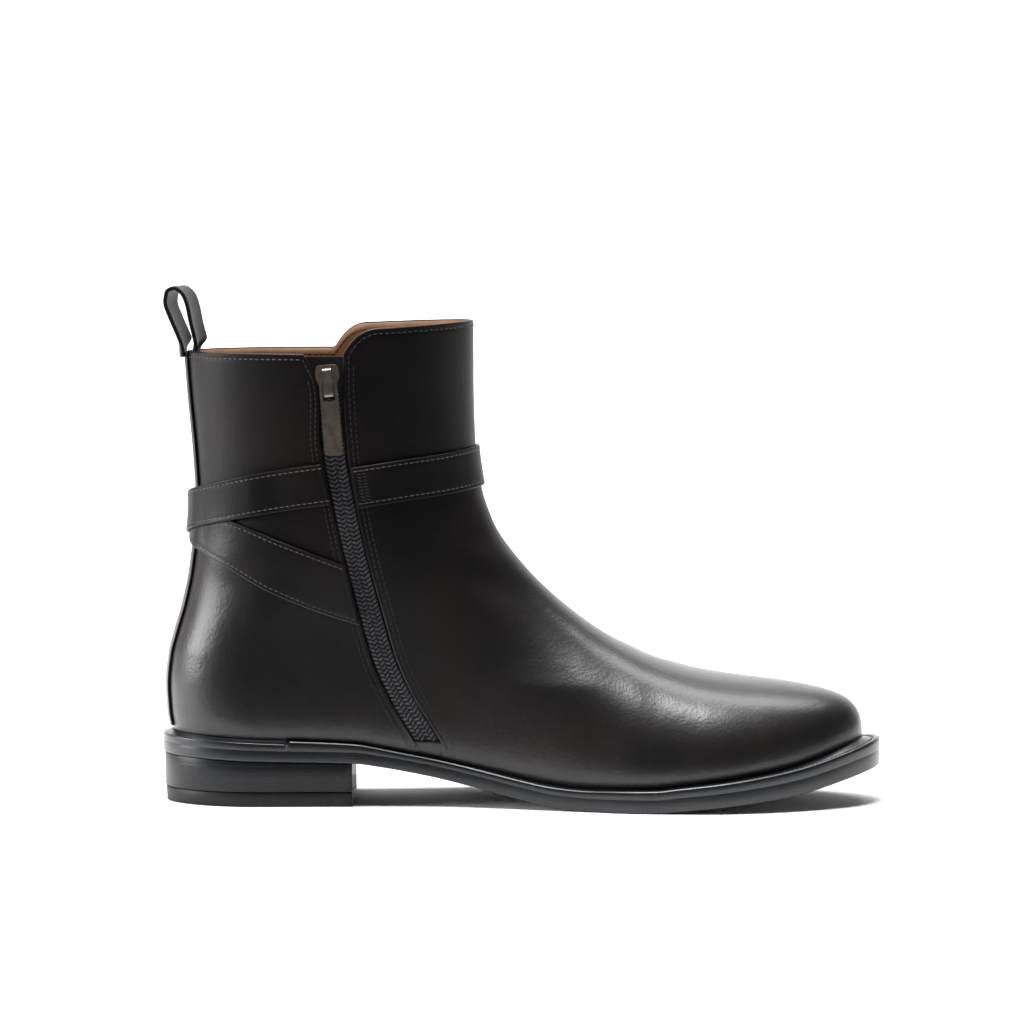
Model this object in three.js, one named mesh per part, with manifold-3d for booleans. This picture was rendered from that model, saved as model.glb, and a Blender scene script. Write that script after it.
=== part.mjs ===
// Jodhpur boot with a side zip, left foot, in millimetres.
// +X runs from the heel to the toe, +Y to the outer side of the leg and +Z up. The floor is z = 0,
// and the origin lies on it under the middle of the heel.

import * as THREE from "three";
import { mergeVertices } from "three/addons/utils/BufferGeometryUtils.js";
import Module from "manifold-3d";

const wasm = await Module();
wasm.setup();

// Sizes of the last and the upper
const upperLength = 289;
const backSetIn = 3.8;
const ballWidth = 96;
const heelWidth = 63;
const shaftWidth = 81;
const shaftLength = 120;
const rearCollarHeight = 188;
const frontCollarHeight = 200.8;
const collarSlope = 2.1;
const wall = 2.2;
const toeRound = 60;
const heelRound = 36;
const toeSwing = 7;
const tuck = 2;
const tuckHeight = 5;

// Sizes of the sole and the heel
const heelReach = 40;
const heelBreast = 40;
const heelHeight = 18;
const toeSpring = 15.5;
const outsoleThickness = 5.4;
const weltThickness = 3.3;
const weltWidth = 6.2;
const topLiftThickness = 6;
const insoleRise = 2;
const stripJoint = 12.6;

// Sizes of the straps, the zip, the buckle and the pull loop
const strapWidth = 16.6;
const strapEndWidth = 23.4;
const strapThickness = 1.3;
const backStripWidth = 17;
const backStripThickness = 0.9;
const slotWidth = 9;
const slotEnd = 27;
const tapeWidth = 28;
const tapeThickness = 0.8;
const chainWidth = 8.4;
const chainThickness = 1.8;
const sliderLength = 13;
const sliderWidth = 9.6;
const sliderThickness = 1.9;
const sliderHeight = 177.2;
const crownWidth = 3.6;
const crownRise = 3.2;
const pullLength = 31.6;
const pullWidth = 7.3;
const pullThickness = 1.1;
const windowWidth = 5;
const windowLength = 7.6;
const loopWidth = 17;
const loopHem = 2.5;
const loopThickness = 1.7;
const loopRise = 27;
const loopLeg = 15;
const loopSwing = 3.8;
const buckleLength = 20;
const buckleWire = 2.4;

// Clearances
const seam = 0.25;
const lay = 0.35;
const sideGap = 0.5;

// Rows of a table joined by a smooth curve that never overshoots them

function curveOf(rows, key, column) {
  const x = rows.map((row) => row[key]);
  const y = rows.map((row) => row[column]);
  const n = x.length;
  const slope = [];
  for (let i = 0; i < n - 1; i++) {
    slope.push((y[i + 1] - y[i]) / (x[i + 1] - x[i]));
  }
  const tangent = [slope[0]];
  for (let i = 1; i < n - 1; i++) {
    const a = slope[i - 1];
    const b = slope[i];
    tangent.push(a * b <= 0 ? 0 : (2 * a * b) / (a + b));
  }
  tangent.push(slope[n - 2]);
  return (value) => {
    if (value <= x[0]) {
      return y[0];
    }
    if (value >= x[n - 1]) {
      return y[n - 1];
    }
    let i = 0;
    while (value > x[i + 1]) {
      i++;
    }
    const h = x[i + 1] - x[i];
    const t = (value - x[i]) / h;
    const s = 1 - t;
    return (
      y[i] * (1 + 2 * t) * s * s +
      tangent[i] * h * t * s * s +
      y[i + 1] * t * t * (3 - 2 * t) -
      tangent[i + 1] * h * t * t * s
    );
  };
}

function mix(a, b, t) {
  return a + (b - a) * t;
}

function smooth(value) {
  const t = Math.min(1, Math.max(0, value));
  return t * t * (3 - 2 * t);
}

// Rise of a rounded end from 0 at its tip to 1 where the round ends
function roundedEnd(share) {
  const d = 1 - Math.min(1, Math.max(0, share));
  return Math.sqrt(1 - d * d);
}

// Side view of the sole: how far its underside lifts, as shares of the heel height and the toe spring.
// Each layer of the sole keeps one height across each station, so that the layers stay parallel.
const soleBack = -heelReach;
const upperBack = soleBack + backSetIn;
const upperToe = upperBack + upperLength;
const SOLE_LINE = [
  { along: 0, heel: 1.133, spring: 0 },
  { along: 0.125, heel: 1.055, spring: 0 },
  { along: 0.264, heel: 1, spring: 0 },
  { along: 0.309, heel: 0.905, spring: 0 },
  { along: 0.356, heel: 0.772, spring: 0 },
  { along: 0.402, heel: 0.617, spring: 0 },
  { along: 0.449, heel: 0.444, spring: 0 },
  { along: 0.516, heel: 0.194, spring: 0 },
  { along: 0.552, heel: 0.083, spring: 0 },
  { along: 0.585, heel: 0.022, spring: 0 },
  { along: 0.615, heel: 0, spring: 0 },
  { along: 0.695, heel: 0, spring: 0 },
  { along: 0.731, heel: 0, spring: 0.06 },
  { along: 0.79, heel: 0, spring: 0.17 },
  { along: 0.845, heel: 0, spring: 0.3 },
  { along: 0.9, heel: 0, spring: 0.47 },
  { along: 0.97, heel: 0, spring: 0.83 },
  { along: 1, heel: 0, spring: 1 },
];
const heelLift = curveOf(SOLE_LINE, "along", "heel");
const springLift = curveOf(SOLE_LINE, "along", "spring");

function soleBottom(x) {
  const along = (x - upperBack) / upperLength;
  return heelHeight * heelLift(along) + toeSpring * springLift(along);
}

// Thickness of the outsole and of the strip on it, rand at the heel and welt ahead, as shares
const SOLE_LAYERS = [
  { along: 0, outsole: 0.815, strip: 1.48 },
  { along: 0.17, outsole: 0.815, strip: 1.3 },
  { along: 0.267, outsole: 0.83, strip: 1.09 },
  { along: 0.35, outsole: 0.85, strip: 0.85 },
  { along: 0.5, outsole: 0.93, strip: 0.88 },
  { along: 0.62, outsole: 1, strip: 1 },
  { along: 0.71, outsole: 1.03, strip: 1.12 },
  { along: 0.79, outsole: 1.08, strip: 1.2 },
  { along: 0.87, outsole: 1.12, strip: 1.3 },
  { along: 0.94, outsole: 1.16, strip: 1.4 },
  { along: 1, outsole: 1.2, strip: 1.5 },
];
const outsoleShare = curveOf(SOLE_LAYERS, "along", "outsole");
const stripShare = curveOf(SOLE_LAYERS, "along", "strip");

function outsoleTop(x) {
  const along = (x - upperBack) / upperLength;
  return soleBottom(x) + outsoleThickness * outsoleShare(along);
}

function stripTop(x) {
  const along = (x - upperBack) / upperLength;
  return outsoleTop(x) + seam + weltThickness * stripShare(along);
}

// Height of the feather line, where the upper meets the welt
function feather(x) {
  return stripTop(x) + seam;
}

// Front edge of the side view, from the toe over the instep to the collar:
// reach back from the toe as a share of the upper's length, rise as a share of the front's height
const FRONT_PROFILE = [
  { reach: 0, rise: 0 },
  { reach: 0.0014, rise: 0.03 },
  { reach: 0.006, rise: 0.0574 },
  { reach: 0.0235, rise: 0.0909 },
  { reach: 0.0585, rise: 0.1143 },
  { reach: 0.111, rise: 0.1315 },
  { reach: 0.198, rise: 0.1498 },
  { reach: 0.25, rise: 0.1651 },
  { reach: 0.296, rise: 0.1864 },
  { reach: 0.331, rise: 0.2097 },
  { reach: 0.384, rise: 0.2585 },
  { reach: 0.424, rise: 0.3062 },
  { reach: 0.473, rise: 0.3784 },
  { reach: 0.5, rise: 0.4271 },
  { reach: 0.522, rise: 0.4759 },
  { reach: 0.537, rise: 0.5236 },
  { reach: 0.551, rise: 0.5978 },
  { reach: 0.56, rise: 0.7115 },
  { reach: 0.5625, rise: 0.8598 },
  { reach: 0.5627, rise: 1.0305 },
];

// Back edge of the side view: forward of the heel's back as a share of the upper's length
const BACK_PROFILE = [
  { rise: 0, forward: 0 },
  { rise: 0.048, forward: -0.0041 },
  { rise: 0.12, forward: -0.0062 },
  { rise: 0.2, forward: -0.0017 },
  { rise: 0.251, forward: 0.0055 },
  { rise: 0.334, forward: 0.0186 },
  { rise: 0.442, forward: 0.0303 },
  { rise: 0.6, forward: 0.0389 },
  { rise: 0.722, forward: 0.0355 },
  { rise: 0.9, forward: 0.0269 },
  { rise: 1.1, forward: 0.019 },
];
const toeFeather = feather(upperToe);
const heelFeather = feather(upperBack);
const frontSpan = frontCollarHeight - toeFeather;
const backSpan = rearCollarHeight - heelFeather;
const backForward = curveOf(BACK_PROFILE, "rise", "forward");

function backEdge(z) {
  return upperBack + upperLength * backForward((z - heelFeather) / backSpan);
}

// The front edge sampled along its own length, so that it can be read by height, by length or by run
const FRONT_SAMPLES = 400;
const frontEdge = (() => {
  const chord = [0];
  for (let i = 1; i < FRONT_PROFILE.length; i++) {
    const reach = FRONT_PROFILE[i].reach - FRONT_PROFILE[i - 1].reach;
    const rise = FRONT_PROFILE[i].rise - FRONT_PROFILE[i - 1].rise;
    chord.push(chord[i - 1] + Math.hypot(reach * upperLength, rise * frontSpan));
  }
  const rows = FRONT_PROFILE.map((row, i) => ({ ...row, run: chord[i] / chord.at(-1) }));
  const reachAt = curveOf(rows, "run", "reach");
  const riseAt = curveOf(rows, "run", "rise");
  const points = [];
  for (let i = 0; i <= FRONT_SAMPLES; i++) {
    const run = i / FRONT_SAMPLES;
    points.push({
      run,
      x: upperToe - upperLength * reachAt(run),
      z: toeFeather + frontSpan * riseAt(run),
    });
  }
  return points;
})();

// Reads the front edge where one of its numbers, which grows or falls all along it, has a value
function onFrontEdge(key, value, column) {
  const rising = frontEdge.at(-1)[key] > frontEdge[0][key];
  let low = 0;
  let high = FRONT_SAMPLES;
  while (high - low > 1) {
    const middle = (low + high) >> 1;
    if (frontEdge[middle][key] < value === rising) {
      low = middle;
    } else {
      high = middle;
    }
  }
  const a = frontEdge[low];
  const b = frontEdge[high];
  const t = Math.min(1, Math.max(0, (value - a[key]) / (b[key] - a[key] || 1)));
  return mix(a[column], b[column], t);
}

function ridge(x) {
  return onFrontEdge("x", x, "z");
}

function frontEdgeAt(z) {
  return onFrontEdge("z", z, "x");
}

// Top view of the foot: half widths to each side of the ridge, as shares of half the ball width
const FOOT_PLAN = [
  { along: 0, inner: 0.65, outer: 0.65 },
  { along: 0.12, inner: 0.66, outer: 0.67 },
  { along: 0.25, inner: 0.64, outer: 0.69 },
  { along: 0.38, inner: 0.63, outer: 0.75 },
  { along: 0.5, inner: 0.73, outer: 0.88 },
  { along: 0.6, inner: 0.88, outer: 0.98 },
  { along: 0.68, inner: 0.98, outer: 1.02 },
  { along: 0.76, inner: 0.99, outer: 0.98 },
  { along: 0.84, inner: 0.92, outer: 0.9 },
  { along: 0.92, inner: 0.84, outer: 0.82 },
  { along: 1, inner: 0.78, outer: 0.76 },
];
const innerPlan = curveOf(FOOT_PLAN, "along", "inner");
const outerPlan = curveOf(FOOT_PLAN, "along", "outer");

// Back view: half width of the ankle and the shaft, and how long their ends are rounded
const LEG_SECTIONS = [
  { rise: 0, width: 0.76, round: 0 },
  { rise: 0.2, width: 0.8, round: 0.08 },
  { rise: 0.44, width: 0.87, round: 0.5 },
  { rise: 0.7, width: 0.94, round: 0.85 },
  { rise: 1, width: 1, round: 1 },
  { rise: 1.1, width: 1.01, round: 1 },
];
const legWidth = curveOf(LEG_SECTIONS, "rise", "width");
const legRound = curveOf(LEG_SECTIONS, "rise", "round");
const heelPlanShare = heelWidth / ballWidth;

function footHalfWidth(x, side) {
  const along = (x - upperBack) / upperLength;
  const plan = side < 0 ? innerPlan(along) : outerPlan(along);
  const seat = heelPlanShare / FOOT_PLAN[0].inner;
  return (ballWidth / 2) * plan * mix(seat, 1, smooth(along / 0.5));
}

// Line of the ridge in the top view: it swings to the inner side at the toe
function ridgeLine(x) {
  return -toeSwing * smooth((x - heelBreast) / (upperToe - heelBreast));
}

// Half width of the upper at a point of its side view, from the ridge line to one side.
// Over the foot its section is an arch, fuller than an ellipse by this power.
const archPower = 2.3;
const footBlendFrom = 0.465;
const footBlendTo = 0.66;

function halfWidth(x, z, side) {
  const low = feather(x);
  const top = ridge(x);
  const tucked = tuck * Math.exp(-Math.max(0, z - low) / tuckHeight);
  const along = (x - upperBack) / upperLength;
  const foot = footHalfWidth(x, side);
  const v = Math.min(1, Math.max(0, (z - low) / Math.max(1e-6, top - low)));
  const arch = Math.sqrt(Math.max(0, 1 - Math.pow(v, archPower)));
  const toe = roundedEnd((upperToe - x) / toeRound);
  const fore = (foot - tucked) * toe * arch;
  const rise = (z - heelFeather) / backSpan;
  const leg = (shaftWidth / 2) * legWidth(rise);
  const body = mix(foot, leg, smooth((rise - 0.05) / 0.45));
  const backLength = mix(heelRound, shaftLength / 2, legRound(rise));
  const edge = frontEdgeAt(z);
  const frontLength = shaftLength / 2 + 0.5 * Math.max(0, edge - frontEdge.at(-1).x);
  const back = roundedEnd((x - backEdge(z)) / backLength);
  const front = roundedEnd((edge - x) / frontLength);
  const rear = (body - tucked) * back * front;
  return mix(rear, fore, smooth((along - footBlendFrom) / (footBlendTo - footBlendFrom)));
}

// A point of the upper by turn, from 0 at the back over the inner side to a half turn at the front,
// with the outer side as negative turns, and by height, then moved out from the skin
function onSkin(turn, z) {
  const from = backEdge(z);
  const to = frontEdgeAt(z);
  const side = Math.sin(turn) < 0 ? 1 : -1;
  const x = mix(from, to, (1 - Math.cos(turn)) / 2);
  return new THREE.Vector3(x, ridgeLine(x) + side * halfWidth(x, z, side), z);
}

function skinNormal(turn, z) {
  const step = 0.02;
  const along = onSkin(turn + step, z).sub(onSkin(turn - step, z));
  const up = onSkin(turn, z + 1).sub(onSkin(turn, z - 1));
  return along.cross(up).normalize();
}

function offSkin(turn, z, out) {
  return onSkin(turn, z).addScaledVector(skinNormal(turn, z), out);
}

// The turn of a point that the side view shows at x, on the inner side
function turnAt(x, z) {
  const share = (x - backEdge(z)) / (frontEdgeAt(z) - backEdge(z));
  return Math.acos(1 - 2 * Math.min(1, Math.max(0, share)));
}

// Closed meshes from grids of points

function closedGeometry(points, faces) {
  const positions = new Float32Array(points.flatMap((p) => [p.x, p.y, p.z]));
  let volume = 0;
  for (const [a, b, c] of faces) {
    volume += points[a].dot(new THREE.Vector3().crossVectors(points[b], points[c]));
  }
  const index = volume > 0 ? faces.flat() : faces.flatMap(([a, b, c]) => [a, c, b]);
  const geometry = new THREE.BufferGeometry();
  geometry.setAttribute("position", new THREE.BufferAttribute(positions, 3));
  geometry.setIndex(index);
  geometry.computeVertexNormals();
  return geometry;
}

// Rings of equal count joined in order, as a tube: closed on itself, or with its ends capped
function ringGeometry(rings, cap) {
  const n = rings[0].length;
  const last = cap ? rings.length - 1 : rings.length;
  const faces = [];
  for (let i = 0; i < last; i++) {
    const a = i * n;
    const b = ((i + 1) % rings.length) * n;
    for (let j = 0; j < n; j++) {
      const k = (j + 1) % n;
      faces.push([a + j, a + k, b + k], [a + j, b + k, b + j]);
    }
  }
  if (cap) {
    const top = (rings.length - 1) * n;
    for (const [a, b, c] of cap(n)) {
      faces.push([a, c, b], [top + a, top + b, top + c]);
    }
  }
  return closedGeometry(rings.flat(), faces);
}

// Caps: rungs between the two sides of an outline, or a fan
function ladderCap(n) {
  const half = n / 2;
  const faces = [[0, 1, n - 1]];
  for (let i = 1; i < half - 1; i++) {
    faces.push([i, i + 1, n - i - 1], [i, n - i - 1, n - i]);
  }
  faces.push([half - 1, half, half + 1]);
  return faces;
}

function fanCap(n) {
  const faces = [];
  for (let i = 1; i < n - 1; i++) {
    faces.push([0, i, i + 1]);
  }
  return faces;
}

// A band on the upper, cut across at each step of its length
function bandGeometry(steps, across, place) {
  const rings = [];
  for (let i = 0; i <= steps; i++) {
    const ring = [];
    for (let j = 0; j <= across; j++) {
      ring.push(place(i / steps, j / across - 0.5, 1));
    }
    for (let j = across; j >= 0; j--) {
      ring.push(place(i / steps, j / across - 0.5, 0));
    }
    rings.push(ring);
  }
  return ringGeometry(rings, bandCap);
}

function bandCap(n) {
  const faces = [];
  for (let i = 0; i < n / 2 - 1; i++) {
    faces.push([i, i + 1, n - i - 2], [i, n - i - 2, n - i - 1]);
  }
  return faces;
}

function solidOf(geometry) {
  const mesh = new wasm.Mesh({
    numProp: 3,
    vertProperties: geometry.getAttribute("position").array,
    triVerts: new Uint32Array(geometry.getIndex().array),
  });
  return new wasm.Manifold(mesh);
}

function geometryOf(solid) {
  const mesh = solid.getMesh();
  const geometry = new THREE.BufferGeometry();
  geometry.setAttribute("position", new THREE.BufferAttribute(mesh.vertProperties, 3));
  geometry.setIndex(Array.from(mesh.triVerts));
  geometry.computeVertexNormals();
  return geometry;
}

// Materials
const darkLeather = { color: 0x17151a, roughness: 0.35, metalness: 0 };
const soleLeather = { color: 0x111317, roughness: 0.4, metalness: 0 };
const heelRubber = { color: 0x0c0d10, roughness: 0.6, metalness: 0 };
const liningLeather = { color: 0x96643a, roughness: 0.6, metalness: 0 };
const tapeFabric = { color: 0x0d0d10, roughness: 0.85, metalness: 0 };
const gunmetal = { color: 0x3a3632, roughness: 0.35, metalness: 0.9 };

const boot = new THREE.Group();

function add(name, geometry, look) {
  const mesh = new THREE.Mesh(geometry, new THREE.MeshStandardMaterial(look));
  mesh.name = name;
  boot.add(mesh);
  return mesh;
}

// Upper: one hollow wall from the feather line to the collar, stacked from loops round the last

const LOOPS = 27;
const ROUND = 48;
const LOOP_SPACING = [
  { step: 0, back: 0, run: 0 },
  { step: 0.16, back: 0.1, run: 0.085 },
  { step: 0.55, back: 0.44, run: 0.6 },
  { step: 1, back: 1.09, run: 0.995 },
];
const backStep = curveOf(LOOP_SPACING, "step", "back");
const runStep = curveOf(LOOP_SPACING, "step", "run");

function upperLoop(step) {
  const zBack = heelFeather + backSpan * backStep(step);
  const xBack = backEdge(zBack);
  const run = runStep(step);
  const xFront = onFrontEdge("run", run, "x");
  const zFront = onFrontEdge("run", run, "z");
  const sag = Math.pow(Math.max(0, 1 - step / 0.6), 1.4);
  const loop = [];
  for (let k = 0; k < ROUND; k++) {
    const turn = (2 * Math.PI * k) / ROUND;
    const share = (1 - Math.cos(turn)) / 2;
    const x = mix(xBack, xFront, share);
    const line = mix(zBack, zFront, share);
    const chord = mix(feather(xBack), feather(xFront), share);
    const z = line + sag * (feather(x) - chord);
    const side = k > ROUND / 2 ? 1 : -1;
    const edge = k % (ROUND / 2) === 0 ? 0 : halfWidth(x, z, side);
    loop.push(new THREE.Vector3(x, ridgeLine(x) + side * edge, z));
  }
  return loop;
}

function movedOut(loops, distance) {
  return loops.map((loop, i) =>
    loop.map((point, k) => {
      const before = loop[(k + ROUND - 1) % ROUND];
      const after = loop[(k + 1) % ROUND];
      const along = new THREE.Vector3().subVectors(after, before);
      const below = loops[Math.max(0, i - 1)][k];
      const above = loops[Math.min(loops.length - 1, i + 1)][k];
      const up = new THREE.Vector3().subVectors(above, below);
      const normal = along.cross(up);
      if (i === 0 || i === loops.length - 1) {
        normal.z = 0;
      }
      return point.clone().addScaledVector(normal.normalize(), distance);
    })
  );
}

function upperShell() {
  const outer = [];
  for (let i = 0; i <= LOOPS; i++) {
    outer.push(upperLoop(i / LOOPS));
  }
  const inner = movedOut(outer, -wall);
  return ringGeometry([...outer, ...inner.reverse()], null);
}

// Collar: the front panel falls a little from its front, then steps down to the back with a
// rounded corner
const collarStepInner = 37;
const collarStepOuter = 31;
const collarStepLength = 18;

function collarTool(side, from) {
  const reach = upperLength;
  const top = frontCollarHeight + reach;
  const steps = 10;
  const stepTop = frontCollarHeight - collarSlope;
  const shape = new THREE.Shape();
  shape.moveTo(-reach, top);
  shape.lineTo(-reach, rearCollarHeight);
  shape.lineTo(from, rearCollarHeight);
  for (let i = 1; i <= steps; i++) {
    const q = i / steps;
    const rise = 1 - Math.pow(1 - q, 3);
    shape.lineTo(from + collarStepLength * q, mix(rearCollarHeight, stepTop, rise));
  }
  shape.lineTo(frontEdge.at(-1).x, frontCollarHeight);
  shape.lineTo(reach, frontCollarHeight);
  shape.lineTo(reach, top);
  const tool = new THREE.ExtrudeGeometry(shape, { depth: reach, bevelEnabled: false });
  tool.rotateX(Math.PI / 2);
  if (side > 0) {
    tool.translate(0, reach, 0);
  }
  tool.deleteAttribute("normal");
  tool.deleteAttribute("uv");
  return mergeVertices(tool);
}

// Zip: its middle line leans forward as it falls, and the slot flares under the collar
const ZIP_LINE = [
  { height: 0.136, lean: 0.375, flare: 1 },
  { height: 0.169, lean: 0.362, flare: 1 },
  { height: 0.236, lean: 0.336, flare: 1 },
  { height: 0.319, lean: 0.311, flare: 1.06 },
  { height: 0.415, lean: 0.2925, flare: 1.1 },
  { height: 0.543, lean: 0.271, flare: 1.04 },
  { height: 0.665, lean: 0.254, flare: 1.05 },
  { height: 0.771, lean: 0.241, flare: 1.2 },
  { height: 0.914, lean: 0.233, flare: 1.3 },
  { height: 0.977, lean: 0.23, flare: 1.5 },
  { height: 1.1, lean: 0.229, flare: 1.6 },
];
const zipLean = curveOf(ZIP_LINE, "height", "lean");
const zipFlare = curveOf(ZIP_LINE, "height", "flare");

function zipX(z) {
  return upperBack + upperLength * zipLean(z / rearCollarHeight);
}

// A point beside the zip's middle line, at a distance across it and out from the skin
function besideZip(distance, z, out) {
  const tilt = Math.hypot(1, (zipX(z + 1) - zipX(z - 1)) / 2);
  return offSkin(turnAt(zipX(z) + distance * tilt, z), z, out);
}

function slotHalf(z) {
  return (slotWidth / 2) * zipFlare(z / rearCollarHeight);
}

function slotTool() {
  const top = frontCollarHeight + 6;
  return bandGeometry(34, 3, (share, across, face) => {
    const z = mix(slotEnd, top, share);
    return besideZip(2 * across * slotHalf(z), z, face ? wall : -2.5 * wall);
  });
}

const upperSolid = solidOf(upperShell())
  .subtract(solidOf(collarTool(-1, collarStepInner)))
  .subtract(solidOf(collarTool(1, collarStepOuter)))
  .subtract(solidOf(slotTool()));
add("upper", geometryOf(upperSolid), darkLeather);

// Outline of the sole round the feather line, moved out by a distance

function featherPoint(k) {
  const turn = (2 * Math.PI * k) / ROUND;
  const x = mix(upperBack, upperToe, (1 - Math.cos(turn)) / 2);
  const side = k > ROUND / 2 ? 1 : -1;
  const edge = k % (ROUND / 2) === 0 ? 0 : halfWidth(x, feather(x), side);
  return new THREE.Vector2(x, ridgeLine(x) + side * edge);
}

const featherOutline = Array.from({ length: ROUND }, (_, k) => featherPoint(k));

function outlineNormal(k) {
  const before = featherOutline[(k + ROUND - 1) % ROUND];
  const after = featherOutline[(k + 1) % ROUND];
  return new THREE.Vector2(before.y - after.y, after.x - before.x).normalize().negate();
}

// How far the sole's edge stands out, as shares of the welt's width
const EDGE_PLAN = [
  { along: 0, share: 0.61 },
  { along: 0.1, share: 0.5 },
  { along: 0.25, share: 0.5 },
  { along: 0.4, share: 0.55 },
  { along: 0.55, share: 0.85 },
  { along: 0.7, share: 0.95 },
  { along: 0.9, share: 1 },
  { along: 1, share: 1.16 },
];
const edgeShare = curveOf(EDGE_PLAN, "along", "share");

function edgeOut(k) {
  return weltWidth * edgeShare((featherOutline[k].x - upperBack) / upperLength);
}

// A point of the outline, moved out past the feather line, with its height from its station
function outlinePoint(k, out, height) {
  const station = featherOutline[k];
  const point = station.clone().addScaledVector(outlineNormal(k), out);
  return new THREE.Vector3(point.x, point.y, height(station.x));
}

function outlineRing(out, height) {
  return featherOutline.map((_, k) => outlinePoint(k, out(k), height));
}

// Outsole: bevelled underneath, with its top edge rounded off
const soleBevel = 0.8;

function outsoleGeometry() {
  return ringGeometry(
    [
      outlineRing((k) => edgeOut(k) - soleBevel, soleBottom),
      outlineRing(edgeOut, (x) => soleBottom(x) + soleBevel),
      outlineRing(edgeOut, (x) => outsoleTop(x) - soleBevel / 2),
      outlineRing((k) => edgeOut(k) - soleBevel / 2, outsoleTop),
    ],
    ladderCap
  );
}

add("outsole", outsoleGeometry(), soleLeather);

// A strip under the upper's edge, from one place of the outline to another
function stripGeometry(indices, section) {
  return ringGeometry(indices.map((k) => section(k)), fanCap);
}

function jointIndex(side) {
  let best = 0;
  for (let k = 1; k < ROUND / 2; k++) {
    if (Math.abs(featherOutline[k].x - stripJoint) < Math.abs(featherOutline[best].x - stripJoint)) {
      best = k;
    }
  }
  return side < 0 ? best : ROUND - best;
}

// Welt: from the joint on the inner side round the toe to the joint on the outer side
const stripInside = wall + 0.05;

function weltSection(k) {
  const bottom = (x) => outsoleTop(x) + seam;
  const out = edgeOut(k);
  return [
    outlinePoint(k, -stripInside, bottom),
    outlinePoint(k, out - 0.4, bottom),
    outlinePoint(k, out, (x) => bottom(x) + 0.4),
    outlinePoint(k, out, (x) => stripTop(x) - 0.7),
    outlinePoint(k, out - 0.7, stripTop),
    outlinePoint(k, -stripInside, stripTop),
  ];
}

const innerJoint = jointIndex(-1);
const outerJoint = jointIndex(1);
const weltRun = [];
for (let k = innerJoint; k <= outerJoint; k++) {
  weltRun.push(k);
}
add("welt", stripGeometry(weltRun, weltSection), soleLeather);

// Rand: round the heel seat, with its top sloping up to the upper
const randSlope = 1.4;
const randJointGap = 0.3;

function randSection(k, turnBack) {
  const bottom = (x) => outsoleTop(x) + seam;
  const out = edgeOut(k);
  const place = (distance, height) => {
    const point = outlinePoint(k, distance, height);
    point.x -= turnBack;
    return point;
  };
  return [
    place(-stripInside, bottom),
    place(out - 0.4, bottom),
    place(out, (x) => bottom(x) + 0.4),
    place(out, (x) => stripTop(x) - randSlope - 0.6),
    place(out - 0.6, (x) => stripTop(x) - randSlope),
    place(0.2, stripTop),
    place(-stripInside, stripTop),
  ];
}

const randRun = [];
for (let k = outerJoint; k <= ROUND + innerJoint; k++) {
  randRun.push(k % ROUND);
}
const randEnds = new Set([innerJoint, outerJoint]);
add(
  "heel_rand",
  stripGeometry(randRun, (k) => randSection(k, randEnds.has(k) ? randJointGap : 0)),
  soleLeather
);

// Insole: fills the inside of the strips and rises a little above the feather line
const insoleIn = wall + sideGap;

function insoleGeometry() {
  return ringGeometry(
    [
      outlineRing(() => -insoleIn, (x) => outsoleTop(x) + seam),
      outlineRing(() => -insoleIn, (x) => feather(x) + insoleRise - 0.6),
      outlineRing(() => -insoleIn - 0.8, (x) => feather(x) + insoleRise),
    ],
    ladderCap
  );
}

add("insole", insoleGeometry(), liningLeather);

// Heel: lifts under the outsole, hollowed a little at the breast, and the rubber top lift
const breastHollow = 4;
const heelTaper = 1.6;
const heelTopIn = 0.6;
const liftTopIn = 1.1;
const HEEL_ROUND = 14;

function heelOutline(inset, height) {
  const ring = [];
  const half = featherOutline.filter((point, k) => k <= ROUND / 2 && point.x < heelBreast - 3);
  const count = half.length;
  for (let k = count - 1; k > 0; k--) {
    ring.push(outlinePoint(ROUND - k, edgeOut(k) - inset, height));
  }
  for (let k = 0; k < count; k++) {
    ring.push(outlinePoint(k, edgeOut(k) - inset, height));
  }
  const outer = ring[0];
  const inner = ring.at(-1);
  for (let i = 0; i <= HEEL_ROUND; i++) {
    const q = i / HEEL_ROUND;
    const x = heelBreast - breastHollow * 4 * q * (1 - q);
    ring.push(new THREE.Vector3(x, mix(inner.y, outer.y, q), height(x)));
  }
  return ring;
}

function heelLayer(low, high, lowInset, highInset) {
  const bottom = heelOutline(lowInset, low);
  const top = heelOutline(highInset, high);
  return ringGeometry([bottom, top], () => earCap(bottom));
}

// A cap of any outline, cut into triangles in the top view
function earCap(ring) {
  const flat = ring.map((point) => new THREE.Vector2(point.x, point.y));
  return THREE.ShapeUtils.triangulateShape(flat, []);
}

add(
  "heel_stack",
  heelLayer(() => topLiftThickness + seam, (x) => soleBottom(x) - lay, liftTopIn, heelTopIn),
  soleLeather
);
add("top_lift", heelLayer(() => 0, () => topLiftThickness, heelTaper, liftTopIn), heelRubber);

// Back strip: covers the seam up the back, from the rand to the collar

// The turn at which the skin lies a distance to one side of the seam up the back
function turnBeside(distance, z) {
  const probe = 0.3;
  const width = Math.abs(onSkin(probe, z).y - ridgeLine(backEdge(z)));
  return Math.asin((distance * Math.sin(probe)) / width);
}

const stripFoot = heelFeather + 1.4;
add(
  "back_strip",
  bandGeometry(18, 4, (share, across, face) => {
    const z = mix(stripFoot, rearCollarHeight - 0.6, share);
    const turn = turnBeside(backStripWidth * across, z);
    return offSkin(turn, z, seam + (face ? backStripThickness : 0));
  }),
  darkLeather
);

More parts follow.
